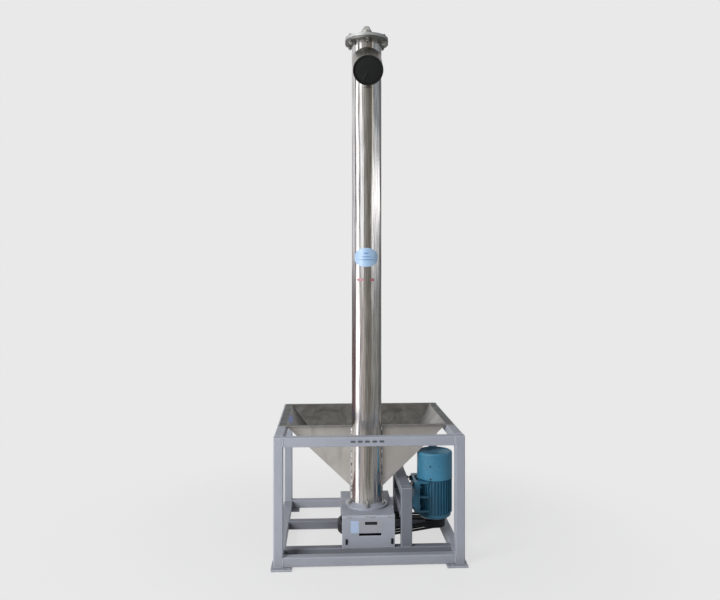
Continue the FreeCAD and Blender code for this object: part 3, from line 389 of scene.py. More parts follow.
NODE_FINISHES = {
    "grey_enamel": [
        "front_left_leg", "front_right_leg", "back_left_leg", "back_right_leg",
        "front_top_rail", "back_top_rail", "left_top_rail", "right_top_rail",
        "front_bottom_rail", "back_bottom_rail", "left_bottom_rail", "right_bottom_rail",
        "foot_plates", "housing_top_plate", "housing_front_panel", "housing_back_panel"],
    "foot_enamel": ["tube_base_flange"],
    # painted shade: the bracket and the cross rails take the darker copy of the grey enamel
    "shaded_bracket_enamel": ["cross_rails", "bracket_posts", "bracket_top_rail", "bracket_lower_rail"],
    "zinc": ["tension_rods"],
    "sheet_stainless": [
        "hopper_left_wall", "hopper_back_wall", "hopper_front_left_panel",
        "hopper_front_right_panel", "hopper_neck"],
    # painted reflection on the right slope's inside
    "lit_right_stainless": ["hopper_right_wall"],
    "mirror_stainless": ["conveyor_tube"],
    "spout_stainless": ["discharge_spout"],
    "turned_stainless": ["top_cover_plate"],
    "dark_flange_stainless": ["tube_top_flange"],
    "cast_bearing": ["top_bearing", "lower_bearing"],
    "worn_screw": ["screw_shaft", "inlet_flight", "screw_flight"],
    "cast_iron": ["driven_pulley", "motor_pulley"],
    "belt_rubber": ["v_belts"],
    "sleeve_rubber": ["spout_liner"],
    "motor_enamel": ["motor_body", "terminal_box", "motor_mount_plate"],
    "cowl_enamel": ["motor_fan_cowl"],
}


# Shapes

def band(shape, one, two):
    """Adds the faces between two rings of points; a ring of one point is a pole."""
    count = max(len(one), len(two))
    for i in range(count):
        j = (i + 1) % count
        loop = [one[i % len(one)], one[j % len(one)], two[j % len(two)], two[i % len(two)]]
        shape.faces.new(list(dict.fromkeys(loop)))


def stack(shape, rings):
    """Closes a stack of equal rings into a solid."""
    shape.faces.new(rings[0][::-1])
    shape.faces.new(rings[-1])
    for low, high in zip(rings, rings[1:]):
        band(shape, low, high)


def turned(shape, profile, place=None, sides=32):
    """Adds a solid turned about Z from (radius, height) points that start and end on the axis."""
    place = place or Matrix()
    rings = []
    for radius, height in profile:
        angles = [2 * math.pi * i / sides for i in range(sides if radius > 0 else 1)]
        rings.append([
            shape.verts.new(place @ Vector((radius * math.cos(a), radius * math.sin(a), height)))
            for a in angles])
    for low, high in zip(rings, rings[1:]):
        band(shape, low, high)


def slab(shape, size, place, rounding, corners=5):
    """Adds a flat plate (width, height, thickness) with rounded corners, on its XY plane."""
    width, height, thick = size
    outline = []
    for turn, (sx, sy) in enumerate(((1, 1), (-1, 1), (-1, -1), (1, -1))):
        centre = Vector((sx * (width / 2 - rounding), sy * (height / 2 - rounding), 0))
        for i in range(corners):
            a = math.pi / 2 * (turn + i / (corners - 1))
            outline.append(centre + rounding * Vector((math.cos(a), math.sin(a), 0)))
    stack(shape, [[shape.verts.new(place @ (p + Vector((0, 0, z)))) for p in outline]
                  for z in (0, thick)])


def bead(shape, start, end, radius, rng, pitch=0.004, sides=8):
    """Adds a weld bead along a line, swelling at each drop of metal."""
    run = end - start
    turn = run.to_track_quat("Z", "X")
    steps = max(3, int(run.length / pitch * 3))
    rings = []
    for i in range(steps + 1):
        swell = 1 + 0.16 * math.cos(2 * math.pi * i / 3) + rng.uniform(-0.06, 0.06)
        taper = 0.35 if i in (0, steps) else 1
        middle = start + run * (i / steps)
        angles = [2 * math.pi * k / sides for k in range(sides)]
        rings.append([
            shape.verts.new(
                middle + turn @ Vector((math.cos(a), math.sin(a), 0)) * radius * swell * taper)
            for a in angles])
    stack(shape, rings)


def soft_sheet(shape, layers, point, rim, rings):
    """Adds a thin round sheet; point(layer, share of the radius, angle) gives its points."""
    edges = []
    for layer in layers:
        loops = [[shape.verts.new(point(layer, k / rings, 2 * math.pi * i / rim))
                  for i in range(rim if k else 1)] for k in range(rings + 1)]
        for inner, outer in zip(loops, loops[1:]):
            band(shape, inner, outer)
        edges.append(loops[-1])
    band(shape, *edges)


def hexagon_head(shape, thread, place, height=None):
    """Adds a washer and a hexagon head or nut that sit on the place's XY plane."""
    corner = 1.55 * thread / math.sqrt(3)
    tall = height or 0.65 * thread
    washer = 0.2 * thread
    turned(shape, [(0, 0), (thread, 0), (thread, washer * 0.8), (0.96 * thread, washer),
                   (0, washer)], place, 24)
    turned(shape, [(0, washer), (corner, washer), (corner, washer + tall * 0.86),
                   (corner * 0.86, washer + tall), (0, washer + tall)], place, 6)


def stud_end(shape, thread, place, reach):
    """Adds the threaded end of a bolt, with ridges where its thread is."""
    pitch = 0.0018
    profile = [(0, 0)]
    for i in range(int(reach / pitch)):
        profile += [(thread * 0.5, pitch * (i + 0.35)), (thread * 0.43, pitch * (i + 0.85))]
    profile += [(thread * 0.36, reach), (0, reach)]
    turned(shape, profile, place, 16)


def facing(position, direction):
    """Placement at a point whose Z axis points along a direction."""
    turn = Vector(direction).to_track_quat("Z", "Y").to_matrix().to_4x4()
    return Matrix.Translation(position) @ turn


def round_axis(axis, radius, degrees, height):
    """Point round an upright axis; 0 degrees faces the front and angles grow to the right."""
    a = math.radians(degrees)
    return Vector((axis.x + radius * math.sin(a), axis.y - radius * math.cos(a), height))


def object_from(name, shape, material):
    """Object in the scene, made from a shape and given a material."""
    mesh = bpy.data.meshes.new(name)
    shape.to_mesh(mesh)
    shape.free()
    mesh.materials.append(material)
    made = bpy.data.objects.new(name, mesh)
    bpy.context.scene.collection.objects.link(made)
    return made


def piece(name, shape, finish_name):
    """Piece that rides on the stand, smooth but for edges of more than 35 degrees."""
    bmesh.ops.recalc_face_normals(shape, faces=shape.faces)
    made = object_from(name, shape, FINISHES[finish_name])
    made.data.shade_smooth()
    made.data.set_sharp_from_angle(angle=math.radians(35))
    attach(made, "stand")


class CONVEYOR_OT_finishes(bpy.types.Operator):
    """Make the materials and give them to the frame's solids"""
    bl_idname = "conveyor.finishes"
    bl_label = "Finishes"

    # name: dark tone, light tone, roughness, share of metal, grain in mm, relief in m
    GRAINY = {
        # spout, polished by hand after welding: duller than the tube and heat-stained
        "spout_stainless": ("#77746F", "#A5A29B", 0.3, 1.0, 6.0, 0.0001),
        # investment-cast bearing housing, blasted: dull and finely pitted
        "cast_bearing": ("#979994", "#B2B3AE", 0.42, 1.0, 2.0, 0.0001),
        # flight and core, scoured by the feed: dull steel with soft stains
        "worn_screw": ("#84827D", "#A5A39E", 0.36, 1.0, 3.0, 0.00005),
        # sand-cast iron with an oily film: dark, rough skin
        "cast_iron": ("#3E4045", "#595B60", 0.5, 0.7, 2.5, 0.0002),
        # zinc-plated steel: bright, a little cloudy
        "zinc": ("#A9AAA8", "#C4C4C0", 0.3, 1.0, 1.5, 0.00002),
        # blackened steel of small machine screws
        "black_steel": ("#1E2024", "#33363B", 0.45, 0.6, 1.5, 0.00002),
        # weld drops given bright metal tones with straw tints, lighter than the enamel round them:
        # a painted highlight where they catch the light
        "glinting_weld_metal": ("#C9C6BF", "#E6E4DF", 0.22, 1.0, 1.0, 0.00004),
        # stainless seam, melted by hand with gaps: white drops, which are painted glints, between
        # dark ones
        "glinting_bead": ("#55565A", "#FFFFFF", 0.25, 0.35, 1.5, 0.0003, 5.0),
        # name plate of natural anodised aluminium: even satin grey
        "anodised_plate": ("#A0A2A9", "#B1B3BA", 0.45, 0.4, 1.2, 0.00001),
    }

    def execute(self, context):
        colours = settings().colours
        grey_enamel("grey_enamel", colours.frame_shade, colours.frame)
        # painted shade: a darker copy of the stand's grey enamel, for the bracket and the cross
        # rails
        grey_enamel("shaded_bracket_enamel", colours.shaded_bracket_thin, colours.bracket)
        # the tube's foot was painted wet and thick: a glossier coat than the stand's
        grey_enamel("foot_enamel", colours.frame_shade, colours.frame, 0.12, 0.2, 0.7)
        mirror_stainless("mirror_stainless")
        # painted shade: the inner slopes of these walls are given dark greys
        sheet_stainless("sheet_stainless", "#45433E", "#716F6B")
        # painted reflection: the right slope's inside gets lighter tones than the other slopes
        sheet_stainless("lit_right_stainless", "#6C6965", "#B2B0AD")
        turned_stainless("turned_stainless", "#B0B2B1", 0.46, 0.5)
        # the flange welded to the tube is given a darker tone than the cover plate
        turned_stainless("dark_flange_stainless", "#6E6E6B", 0.5)
        for name, values in self.GRAINY.items():
            grainy_metal(name, *values)
        # painted shade: the motor's castings and the parts painted with them take the darker of the
        # two blues
        motor_enamel("motor_enamel", colours.motor)
        motor_enamel("cowl_enamel", colours.cowl)
        # cloth-faced belt, 1 mm weave drawn at 2 mm
        black_rubber("belt_rubber", "#0D0F13", 0.66, 2)
        black_rubber("sleeve_rubber", "#0F1112", 0.72, 3)
        vinyl("label_vinyl", rgba(colours.label))
        vinyl("sticker_vinyl", rgba(colours.sticker))
        # half-gloss inks of the bars and dashes
        vinyl("blue_ink", linear("#4A78AE"))
        vinyl("red_ink", linear("#9A4A50"))
        vinyl("black_ink", linear("#3E3F46"), 0.1)
        # torn rest of the blue film that covered the sheet in the workshop
        vinyl("blue_film", linear("#1E4FB0"), 0.0)
        for name, nodes in NODE_FINISHES.items():
            for node_name in nodes:
                worn = frame["nodes"][node_name].data.materials
                if not worn:
                    worn.append(FINISHES[name])
                for i in range(len(worn)):
                    worn[i] = FINISHES[name]
        return {"FINISHED"}


class CONVEYOR_OT_stand_welds(bpy.types.Operator):
    """Lay weld beads round the ends of the stand's and the bracket's tubes"""
    bl_idname = "conveyor.stand_welds"
    bl_label = "Stand welds"

    # tube, and the axis that it runs along
    BARS = [("front_top_rail", 0), ("back_top_rail", 0), ("left_top_rail", 1),
            ("right_top_rail", 1), ("front_bottom_rail", 0), ("back_bottom_rail", 0),
            ("left_bottom_rail", 1), ("right_bottom_rail", 1), ("bracket_lower_rail", 1)]

    def execute(self, context):
        rng = random.Random(settings().seed)
        radius = settings().sizes.weld_bead
        inset = 0.005
        for name, along in self.BARS:
            low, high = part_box(name)
            across = [i for i in range(3) if i != along]
            shape = bmesh.new()
            for end in (low, high):
                for fixed, free in (across, across[::-1]):
                    for side in (low, high):
                        start, stop = end.copy(), end.copy()
                        start[fixed] = stop[fixed] = side[fixed]
                        start[free] = low[free] + inset
                        stop[free] = high[free] - inset
                        bead(shape, start, stop, radius, rng)
            piece(name + "_welds", shape, "grey_enamel")
        return {"FINISHED"}


class CONVEYOR_OT_flange_bolts(bpy.types.Operator):
    """Bolt the cover plate to the top flange, and screw down the bearing on it"""
    bl_idname = "conveyor.flange_bolts"
    bl_label = "Flange bolts"

    def execute(self, context):
        sizes = settings().sizes
        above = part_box("top_cover_plate")[1].z
        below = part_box("tube_top_flange")[0].z
        thread = sizes.flange_bolt
        for i in range(6):
            spot = round_axis(AXIS, sizes.flange_bolt_circle / 2, 60 * i, above)
            under = round_axis(AXIS, sizes.flange_bolt_circle / 2, 60 * i, below)
            shape = bmesh.new()
            hexagon_head(shape, thread, facing(spot, UP))
            hexagon_head(shape, thread, facing(under, DOWN), 0.8 * thread)
            stud_end(shape, thread, facing(under, DOWN), 0.016)
            piece("top_flange_bolt_%d" % (i + 1), shape, "zinc")
        foot_low, foot_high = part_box("top_bearing")
        foot_radius, foot_thick = (foot_high.x - foot_low.x) / 2, 0.008
        shape = bmesh.new()
        for i in range(4):
            spot = round_axis(AXIS, foot_radius - sizes.cap_screw, 45 + 90 * i,
                              foot_low.z + foot_thick)
            hexagon_head(shape, sizes.cap_screw, facing(spot, UP))
        piece("bearing_screws", shape, "zinc")
        return {"FINISHED"}


class CONVEYOR_OT_mouth_flap(bpy.types.Operator):
    """Hang the soft rubber flap inside the discharge mouth"""
    bl_idname = "conveyor.mouth_flap"
    bl_label = "Mouth flap"

    def execute(self, context):
        sizes = settings().sizes
        low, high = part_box("spout_liner")
        outward = Vector((0, -math.cos(SPOUT_SLOPE), -math.sin(SPOUT_SLOPE)))
        half_liner = 0.0155
        lip = (low + high) / 2 + outward * half_liner
        place = facing(lip - outward * sizes.flap_depth, outward)
        bulge, fold_high, fold_at, fold_wide = 0.004, 0.0025, 4.3, 0.16

        def point(lift, share, angle):
            # one soft fold runs from the middle down to the left
            across = math.exp(-((angle - fold_at) / fold_wide) ** 2)
            fold = across * share * (1 - share) * 4 * fold_high
            reach = sizes.flap_radius * share
            return place @ Vector((reach * math.cos(angle), reach * math.sin(angle),
                                   bulge * (1 - share ** 2) + fold + lift))

        shape = bmesh.new()
        soft_sheet(shape, (0, -sizes.flap_thick), point, 72, 14)
        piece("mouth_flap", shape, "sleeve_rubber")
        return {"FINISHED"}


class CONVEYOR_OT_base_studs(bpy.types.Operator):
    """Stand three studs with nuts on the flange at the tube's foot"""
    bl_idname = "conveyor.base_studs"
    bl_label = "Base studs"

    def execute(self, context):
        sizes = settings().sizes
        ring_radius, flange_thick = 0.100, 0.0166
        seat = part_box("tube_base_flange")[0].z + flange_thick
        for side, degrees in (("left", -72), ("front", 0), ("right", 62)):
            spot = round_axis(AXIS, ring_radius, degrees, seat)
            shape = bmesh.new()
            hexagon_head(shape, sizes.base_stud, facing(spot, UP), 0.8 * sizes.base_stud)
            stud_end(shape, sizes.base_stud * 0.8, facing(spot, UP), sizes.base_stud_reach)
            piece("base_stud_" + side, shape, "zinc")
        return {"FINISHED"}


class CONVEYOR_OT_hopper_seams(bpy.types.Operator):
    """Weld the hopper's sheets to each other and to the tube, and leave a scrap of blue film"""
    bl_idname = "conveyor.hopper_seams"
    bl_label = "Hopper seams"

    RIM, SHEET = 0.040, 0.003

    def execute(self, context):
        rng = random.Random(settings().seed + 1)
        radius = settings().sizes.seam_bead
        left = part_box("hopper_left_wall")[0].x + self.RIM
        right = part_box("hopper_right_wall")[1].x - self.RIM
        back_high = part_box("hopper_back_wall")[1]
        neck_low, neck_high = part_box("hopper_neck")
        rim_z, foot_z = back_high.z, neck_high.z
        # inner face of the slopes where they meet the neck
        slope_foot = foot_z + self.SHEET * 1.4

        shape = bmesh.new()
        front = TUBE_LOW.y + TUBE_RADIUS - self.SHEET / 2 - radius * 0.4
        for side in (-1, 1):
            x = side * (TUBE_RADIUS + radius * 0.3)
            for low, high in ((foot_z, rim_z - 0.004), (neck_low.z + 0.002, foot_z)):
                bead(shape, Vector((x, front, low)), Vector((x, front, high)), radius, rng)
        piece("tube_seams", shape, "glinting_bead")

        shape = bmesh.new()
        for side in (-1, 1):
            top = Vector((side * right, back_high.y - self.RIM, rim_z - 0.002))
            foot = Vector((side * (neck_high.x - self.SHEET), neck_high.y - self.SHEET,
                           slope_foot + 0.001))
            bead(shape, foot, top, radius * 0.8, rng)
        piece("corner_seams", shape, "sheet_stainless")

        # film, torn along its lower edge, on the left slope just below the rim
        middle, start, stop, teeth = 0.03, -0.085, 0.11, 10
        edge = Vector((left, middle, rim_z))
        down = (Vector((-neck_high.x, middle, slope_foot)) - edge).normalized()
        place = Matrix((down, BACK, down.cross(BACK))).transposed().to_4x4()
        place.translation = edge
        step = (stop - start) / teeth
        outline = [(0.004, start), (0.003, stop)]
        outline += [(0.022 + rng.uniform(0, 0.016), stop - step * i) for i in range(teeth + 1)]
        shape = bmesh.new()
        stack(shape, [[shape.verts.new(place @ Vector((x, y, z))) for x, y in outline]
                      for z in (0.0003, settings().sizes.sheet_thick)])
        piece("blue_film", shape, "blue_film")
        return {"FINISHED"}


class CONVEYOR_OT_housing_plates(bpy.types.Operator):
    """Rivet the bare name plate to the drive housing and stick the bare sticker beside it"""
    bl_idname = "conveyor.housing_plates"
    bl_label = "Housing plates"

    def execute(self, context):
        low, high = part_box("housing_front_panel")
        face, thick = low.y, settings().sizes.sheet_thick
        plate = thick * 1.6
        for name, size, x, y, z, rounding, finish_name in (
                ("name_plate", (0.1245, 0.060, plate),
                 0.0103, face, 0.1735, 0.004, "anodised_plate"),
                ("name_plate_band", (0.0665, 0.0165, thick * 0.4),
                 0.0137, face - plate, 0.1900, 0.002, "black_steel"),
                ("sticker", (0.043, 0.0645, thick),
                 -0.0740, face, 0.1705, 0.002, "sticker_vinyl")):
            shape = bmesh.new()
            slab(shape, size, facing(Vector((x, y, z)), FRONT), rounding)
            piece(name, shape, finish_name)
        shape = bmesh.new()
        for x in (-0.0336, 0.0618):
            spot = facing(Vector((x, face - plate, 0.1915)), FRONT)
            turned(shape, [(0, 0), (0.0032, 0), (0.0030, 0.0009), (0.0018, 0.0018), (0, 0.0021)],
                   spot, 16)
        piece("name_plate_rivets", shape, "zinc")

        clamp_thick = 0.0025
        for side, x in (("left", -0.118), ("right", 0.128)):
            foot = Vector((x, face, low.z + 0.0325))
            shape = bmesh.new()
            slab(shape, (0.013, 0.031, clamp_thick), facing(foot, FRONT), 0.005)
            hexagon_head(shape, 0.006, facing(foot + Vector((0, -clamp_thick, 0.006)), FRONT))
            piece("panel_clamp_" + side, shape, "black_steel")

        rng = random.Random(settings().seed + 2)
        shape = bmesh.new()
        for start, stop in ((-0.128, -0.090), (-0.020, 0.036), (0.104, 0.136)):
            bead(shape, Vector((start, face - 0.0005, high.z - 0.002)),
                 Vector((stop, face - 0.0005, high.z - 0.001)), 0.0028, rng)
        piece("panel_welds", shape, "glinting_weld_metal")
        return {"FINISHED"}


class CONVEYOR_OT_tube_label(bpy.types.Operator):
    """Wrap the bare oval label round the tube, and lay plain dashes under it and on the rail"""
    bl_idname = "conveyor.tube_label"
    bl_label = "Tube label"

    # gap between a label and the tube's surface
    GLUE = 0.0003

    def wrap(self, shape, width, height, middle, turn, lift, rim=64, rings=10):
        """Adds an oval sheet bent round the tube, a little off its surface."""
        radius = TUBE_RADIUS + lift

        def point(layer, share, angle):
            arc = width / 2 * share * math.cos(angle) / radius
            return round_axis(AXIS, layer, turn + math.degrees(arc),
                              middle + height / 2 * share * math.sin(angle))

        soft_sheet(shape, (radius, radius + settings().sizes.sheet_thick), point, rim, rings)

    def execute(self, context):
        sizes = settings().sizes
        turn = -5.5
        shape = bmesh.new()
        self.wrap(shape, sizes.label_width, sizes.label_height, sizes.label_level, turn, self.GLUE)
        piece("oval_label", shape, "label_vinyl")

        # three plain bars on the label: width, height above its middle, and how tall
        shape = bmesh.new()
        lift = self.GLUE + sizes.sheet_thick
        for width, rise, tall in ((0.028, 0.022, 0.010), (0.056, 0.004, 0.005),
                                  (0.096, -0.013, 0.006)):
            self.wrap(shape, width, tall, sizes.label_level + rise, turn, lift, 32, 4)
        piece("oval_label_bars", shape, "blue_ink")

        # two plain red dashes under the label: width, and turn about the tube
        shape = bmesh.new()
        drop, tall = 0.1235, 0.017
        for width, degrees in ((0.045, -27.0), (0.025, 18.5)):
            self.wrap(shape, width, tall, sizes.label_level - drop, degrees, self.GLUE, 32, 4)
        piece("tube_dashes", shape, "red_ink")

        # five plain stencilled dashes on the front rail
        shape = bmesh.new()
        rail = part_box("front_top_rail")[0].y
        middle, pitch, level = -0.0125, 0.0375, 0.656
        for i in range(-2, 3):
            spot = Vector((middle + pitch * i, rail, level))
            slab(shape, (0.025, 0.011, 0.0003), facing(spot, FRONT), 0.002)
        piece("rail_dashes", shape, "black_ink")
        return {"FINISHED"}


class CONVEYOR_OT_motor_fixings(bpy.types.Operator):
    """Fix the fan cowl, the motor's feet and the bracket's tension rods"""
    bl_idname = "conveyor.motor_fixings"
    bl_label = "Motor fixings"

    def execute(self, context):
        sizes = settings().sizes
        shape = bmesh.new()
        thread, sunk = sizes.cowl_screw, 0.0006
        for degrees, height in ((-21, 0.009), (69, 0.009), (159, 0.009), (249, 0.009),
                                (-22, 0.080)):
            spot = round_axis(MOTOR_AXIS, COWL_RADIUS - sunk, degrees, COWL_LOW.z + height)
            out = round_axis(MOTOR_AXIS, 1, degrees, 0) - MOTOR_AXIS
            turned(shape, [(0, 0), (thread, 0), (thread * 0.95, thread * 0.3),
                           (thread * 0.5, thread * 0.55), (0, thread * 0.6)], facing(spot, out), 16)
        piece("cowl_screws", shape, "black_steel")

        plate_low, plate_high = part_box("motor_mount_plate")
        shape = bmesh.new()
        foot_thick, from_end, from_edge = 0.016, 0.012, 0.030
        for y in (plate_low.y + from_end, plate_high.y - from_end):
            for z in (plate_low.z + from_edge, plate_high.z - from_edge):
                head = Vector((plate_high.x + foot_thick, y, z))
                hexagon_head(shape, sizes.foot_bolt, facing(head, RIGHT))
                nut = Vector((plate_low.x, y, z))
                hexagon_head(shape, sizes.foot_bolt, facing(nut, LEFT), 0.008)
        piece("motor_foot_bolts", shape, "motor_enamel")

        rods_low, rods_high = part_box("tension_rods")
        half = sizes.rod_nut / 2
        shape = bmesh.new()
        for y in (rods_low.y + half, rods_high.y - half):
            for z in (rods_low.z + half, rods_high.z - half):
                hexagon_head(shape, sizes.rod_nut, facing(Vector((rods_low.x, y, z)), RIGHT))
                hexagon_head(shape, sizes.rod_nut, facing(Vector((rods_high.x, y, z)), LEFT))
        piece("tension_rod_nuts", shape, "black_steel")

        shield_low, screw_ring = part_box("motor_body")[0].z, 0.074
        shape = bmesh.new()
        for i in range(4):
            spot = round_axis(MOTOR_AXIS, screw_ring, 45 + 90 * i, shield_low)
            turned(shape, [(0, 0), (0.007, 0), (0.007, 0.0035), (0.0062, 0.0042), (0, 0.0042)],
                   facing(spot, DOWN), 20)
        piece("end_shield_screws", shape, "black_steel")

        box_low, box_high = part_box("terminal_box")
        middle = (box_low + box_high) / 2
        wide, tall = box_high.x - box_low.x, box_high.z - box_low.z
        lid_thick, overhang, from_corner = 0.005, 0.002, 0.010
        face = Vector((middle.x, box_high.y, middle.z))
        shape = bmesh.new()
        slab(shape, (wide + 2 * overhang, tall + 2 * overhang, lid_thick), facing(face, BACK),
             0.010)
        piece("terminal_lid", shape, "motor_enamel")
        shape = bmesh.new()
        for x in (-1, 1):
            for z in (-1, 1):
                spot = face + Vector((x * (wide / 2 - from_corner), lid_thick,
                                      z * (tall / 2 - from_corner)))
                turned(shape, [(0, 0), (0.0045, 0), (0.0042, 0.002), (0.002, 0.0028),
                               (0, 0.0028)], facing(spot, BACK), 16)
        piece("terminal_lid_screws", shape, "zinc")
        shape = bmesh.new()
        under = facing(Vector((middle.x, middle.y, box_low.z)), DOWN)
        hexagon_head(shape, 0.014, under, 0.006)
        turned(shape, [(0, 0.008), (0.0095, 0.008), (0.0095, 0.017), (0.0075, 0.021),
                       (0.0055, 0.021), (0.0055, 0.019), (0, 0.019)], under, 24)
        piece("cable_gland", shape, "sleeve_rubber")
        return {"FINISHED"}


class CONVEYOR_OT_stage(bpy.types.Operator):
    """Lay the pale floor, set the world, the cards and the lamps, and stand the camera in front"""
    bl_idname = "conveyor.stage"
    bl_label = "Stage"

    PALE = "#E9E9E9"

    def seen_rays(self, tree):
        """1 for rays that show the background: from the camera, in metal and through glass."""
        light = add_node(tree, "ShaderNodeLightPath")
        some = add_node(tree, "ShaderNodeMath", {"operation": "MAXIMUM"},
                        {0: light.outputs["Is Camera Ray"], 1: light.outputs["Is Glossy Ray"]})
        return add_node(tree, "ShaderNodeMath", {"operation": "MAXIMUM"},
                        {0: some, 1: light.outputs["Is Transmission Ray"]})

    def floor(self):
        """Pale painted floor that fades into the background away from the conveyor."""
        tree, shader, place = start_finish("studio_floor", Base_Color=linear("#E4E4E4"),
                                           Roughness=0.9, Specular_IOR_Level=0.0)
        far = add_node(tree, "ShaderNodeVectorMath", {"operation": "LENGTH"}, {0: place})
        away = add_node(tree, "ShaderNodeMapRange",
                        {"interpolation_type": "SMOOTHSTEP", "From Min": 0.5, "From Max": 2.2,
                         "To Min": 0.8}, {"Value": far})
        share = add_node(tree, "ShaderNodeMath", {"operation": "MULTIPLY"},
                         {0: away, 1: self.seen_rays(tree)})
        glow = add_node(tree, "ShaderNodeEmission", {"Color": linear(self.PALE)})
        both = add_node(tree, "ShaderNodeMixShader", links={0: share, 1: shader, 2: glow})
        plug(tree, tree.nodes["Material Output"].inputs, {"Surface": both})
        reach, top, under = 30, -0.001, -0.0015
        shape = bmesh.new()
        turned(shape, [(0, top), (reach, top), (reach, under), (0, under)], sides=64)
        bmesh.ops.recalc_face_normals(shape, faces=shape.faces)
        object_from("studio_floor", shape, FINISHES["studio_floor"])

    def world(self):
        """Even pale background, and a weaker grey light that the object gets from it."""
        sky = bpy.data.worlds.new("studio")
        sky.use_nodes = True
        tree = sky.node_tree
        shown = tree.nodes["Background"]
        shown.inputs["Color"].default_value = linear(self.PALE)
        lighting = add_node(tree, "ShaderNodeBackground",
                            {"Color": linear("#EEF1F6"), "Strength": 0.24})
        both = add_node(tree, "ShaderNodeMixShader",
                        links={0: self.seen_rays(tree), 1: lighting, 2: shown})
        plug(tree, tree.nodes["World Output"].inputs, {"Surface": both})
        bpy.context.scene.world = sky

    # Cards that only polished metal sees: from angle, to angle, lower edge, upper edge, grey,
    # strength.  0 degrees is the front and angles grow to the right; a card from level 0 also
    # lies on the floor in front of its foot.
    CARDS = [
        (-158, -136, 0.0, 1.6, "#565153", 1.0), (-136, -98, 0.0, 1.0, "#7B5E5F", 1.0),
        (-136, -98, 1.0, 1.6, "#867D82", 1.0), (-92, -60, 0.0, 1.6, "#F6F5F5", 1.9),
        (-57, -49, 0.0, 1.6, "#9D9DA1", 1.0), (-49, -25, 0.0, 1.6, "#BAB2AE", 1.0),
        (-146, -129, 1.6, 2.9, "#8E8E96", 1.0), (-128, -111, 1.6, 2.9, "#E6E6EA", 1.3),
        (-109, -98, 1.6, 2.9, "#76767C", 1.0), (-97, -89, 1.6, 2.9, "#D0D0D4", 1.0),
        (-89, -69, 1.6, 2.9, "#F6F5F5", 1.9), (-66, -55, 1.6, 2.9, "#7C7C81", 1.0),
        (-53, -26, 1.6, 2.9, "#E6E9EC", 1.5), (-146, -130, 2.9, 6.0, "#CFCFD6", 1.0),
        (-108, -98, 2.9, 6.0, "#77777F", 1.0), (-98, -76, 2.9, 6.0, "#F6F5F5", 1.8),
        (-75, -63, 2.9, 6.0, "#77757A", 1.0), (-62, -44, 2.9, 6.0, "#F6F5F5", 1.8),
        (-44, -25, 2.9, 6.0, "#AAA7A5", 1.0), (-25, -8, 0.0, 6.0, "#9C9892", 1.0),
        (-8, 10, 0.0, 6.0, "#82807B", 1.0), (10, 34, 0.0, 2.6, "#75726B", 1.0),
        (10, 41, 2.6, 6.0, "#706C64", 1.0), (41, 48, 2.6, 6.0, "#D8D2BA", 1.0),
        (34, 49, 0.0, 1.5, "#8F8D8A", 1.0), (49, 100, 0.0, 1.5, "#848481", 1.0),
        (49, 112, 1.5, 2.1, "#BCC0C4", 1.0), (41, 120, 2.1, 2.6, "#F6F5F5", 2.2),
        (48, 112, 2.6, 6.0, "#8E9499", 1.0), (100, 134, 0.0, 1.5, "#6B6B6D", 1.0),
        (112, 134, 1.5, 2.1, "#6B6B6D", 1.0), (120, 134, 2.1, 2.6, "#6B6B6D", 1.0),
        (112, 134, 2.6, 6.0, "#6B6B6D", 1.0), (134, 158, 0.0, 6.0, "#7A797C", 1.0),
    ]

    def cards(self):
        """Glowing cards that stand in a ring and are seen in reflections alone."""
        reach, near = 3.0, 0.85
        for i, (start, stop, low, high, grey, strength) in enumerate(self.CARDS):
            name = "card_%d" % (i + 1)
            made = bpy.data.materials.new(name)
            made.use_nodes = True
            tree = made.node_tree
            glow = add_node(tree, "ShaderNodeEmission",
                            {"Color": linear(grey), "Strength": strength})
            plug(tree, tree.nodes["Material Output"].inputs, {"Surface": glow})
            line = [(reach, low), (reach, high)]
            if low == 0:
                line.insert(0, (near, 0.002))
            shape = bmesh.new()
            steps = max(2, int((stop - start) / 6))
            columns = [[shape.verts.new(round_axis(AXIS, r, start + (stop - start) * k / steps, z))
                        for r, z in line] for k in range(steps + 1)]
            for one, two in zip(columns, columns[1:]):
                for k in range(len(line) - 1):
                    shape.faces.new([one[k], two[k], two[k + 1], one[k + 1]])
            card = object_from(name, shape, made)
            card.visible_camera = False
            card.visible_diffuse = False
            card.visible_shadow = False
            card.visible_transmission = False

    def lamp(self, name, position, target, size, power, flagged=(), mirrored=True):
        """Soft lamp aimed at a target; flagged nodes get none of its light."""
        data = bpy.data.lights.new(name, "AREA")
        data.shape = "RECTANGLE"
        data.size, data.size_y = size
        data.energy = power
        made = bpy.data.objects.new(name, data)
        made.location = position
        aim = Vector(target) - Vector(position)
        made.rotation_euler = aim.to_track_quat("-Z", "Y").to_euler()
        made.visible_camera = False
        made.visible_glossy = mirrored
        bpy.context.scene.collection.objects.link(made)
        if flagged:
            shaded = bpy.data.collections.new(name + "_flag")
            for node_name in flagged:
                shaded.objects.link(frame["nodes"][node_name])
            for entry in shaded.collection_objects:
                entry.light_linking.link_state = "EXCLUDE"
            made.light_linking.receiver_collection = shaded

    def camera(self):
        """Camera at the photograph's place: focal length 700 pixels in a 720 by 600 picture."""
        data = bpy.data.cameras.new("camera")
        wide, focal = 720, 700
        data.sensor_width = 36
        data.sensor_fit = "HORIZONTAL"
        data.lens = data.sensor_width * focal / wide
        right_of_middle, above_middle = 5.8, 19.2
        data.shift_x = -right_of_middle / wide
        data.shift_y = -above_middle / wide
        made = bpy.data.objects.new("camera", data)
        made.location = (-0.220, -4.134, 1.491)
        made.rotation_euler = (math.radians(90.02), 0, math.radians(-3.13))
        bpy.context.scene.collection.objects.link(made)
        bpy.context.scene.camera = made

    def execute(self, context):
        context.scene.view_settings.view_transform = "Standard"
        self.floor()
        self.world()
        self.cards()
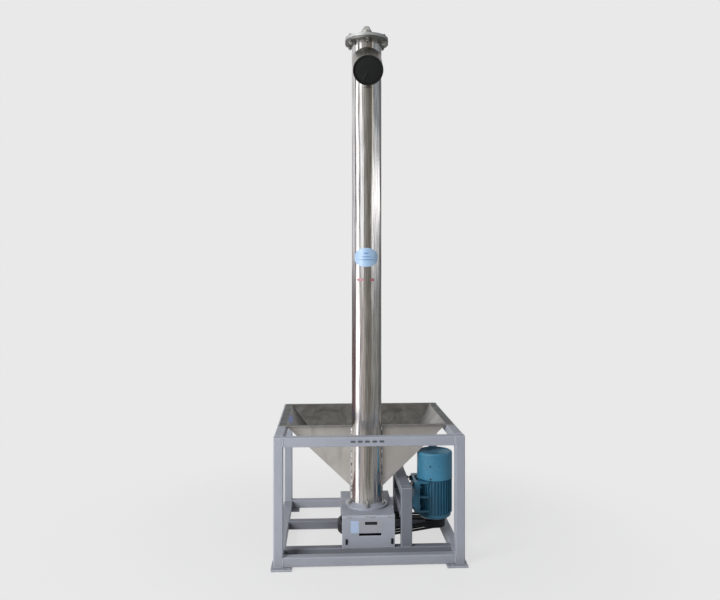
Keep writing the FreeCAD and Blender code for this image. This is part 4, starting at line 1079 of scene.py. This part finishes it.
        # the polished tube sees the cards, so this lamp is flagged off it
        self.lamp("left_softbox", (-3.4, -3.6, 2.5), (0, 0, 0.7), (2.6, 2.6), 244,
                  ["conveyor_tube"])
        self.lamp("right_softbox", (3.4, -2.6, 2.6), (0, 0, 0.9), (1.6, 2.2), 6)
        self.lamp("top_softbox", (0, 0.6, 5.2), (0, 0, 0), (3.0, 3.0), 12)
        self.lamp("back_softbox", (1.6, 5.0, 1.2), (0, 0, 0.9), (2.6, 1.8), 120, mirrored=False)
        self.camera()
        return {"FINISHED"}


OPERATORS = (
    CONVEYOR_OT_finishes,
    CONVEYOR_OT_stand_welds,
    CONVEYOR_OT_flange_bolts,
    CONVEYOR_OT_mouth_flap,
    CONVEYOR_OT_base_studs,
    CONVEYOR_OT_hopper_seams,
    CONVEYOR_OT_housing_plates,
    CONVEYOR_OT_tube_label,
    CONVEYOR_OT_motor_fixings,
    CONVEYOR_OT_stage,
)


class CONVEYOR_PT_panel(bpy.types.Panel):
    """Sidebar panel with the conveyor's operators and settings"""
    bl_idname = "CONVEYOR_PT_panel"
    bl_label = "Screw Conveyor"
    bl_space_type = "VIEW_3D"
    bl_region_type = "UI"
    bl_category = "Conveyor"

    def draw(self, context):
        for operator in OPERATORS:
            self.layout.operator(operator.bl_idname)
        chosen = context.scene.conveyor
        for group in (chosen.sizes, chosen.colours):
            for name in group.bl_rna.properties.keys():
                if name not in ("rna_type", "name"):
                    self.layout.prop(group, name)


CLASSES = (ConveyorSizes, ConveyorColours, ConveyorSettings) + OPERATORS + (CONVEYOR_PT_panel,)


def register():
    for item in CLASSES:
        bpy.utils.register_class(item)
    bpy.types.Scene.conveyor = PointerProperty(type=ConveyorSettings)


def unregister():
    del bpy.types.Scene.conveyor
    for item in reversed(CLASSES):
        bpy.utils.unregister_class(item)


def main():
    register()
    bpy.ops.conveyor.finishes()
    bpy.ops.conveyor.stand_welds()
    bpy.ops.conveyor.flange_bolts()
    bpy.ops.conveyor.mouth_flap()
    bpy.ops.conveyor.base_studs()
    bpy.ops.conveyor.hopper_seams()
    bpy.ops.conveyor.housing_plates()
    bpy.ops.conveyor.tube_label()
    bpy.ops.conveyor.motor_fixings()
    bpy.ops.conveyor.stage()


if __name__ == "__main__":
    main()
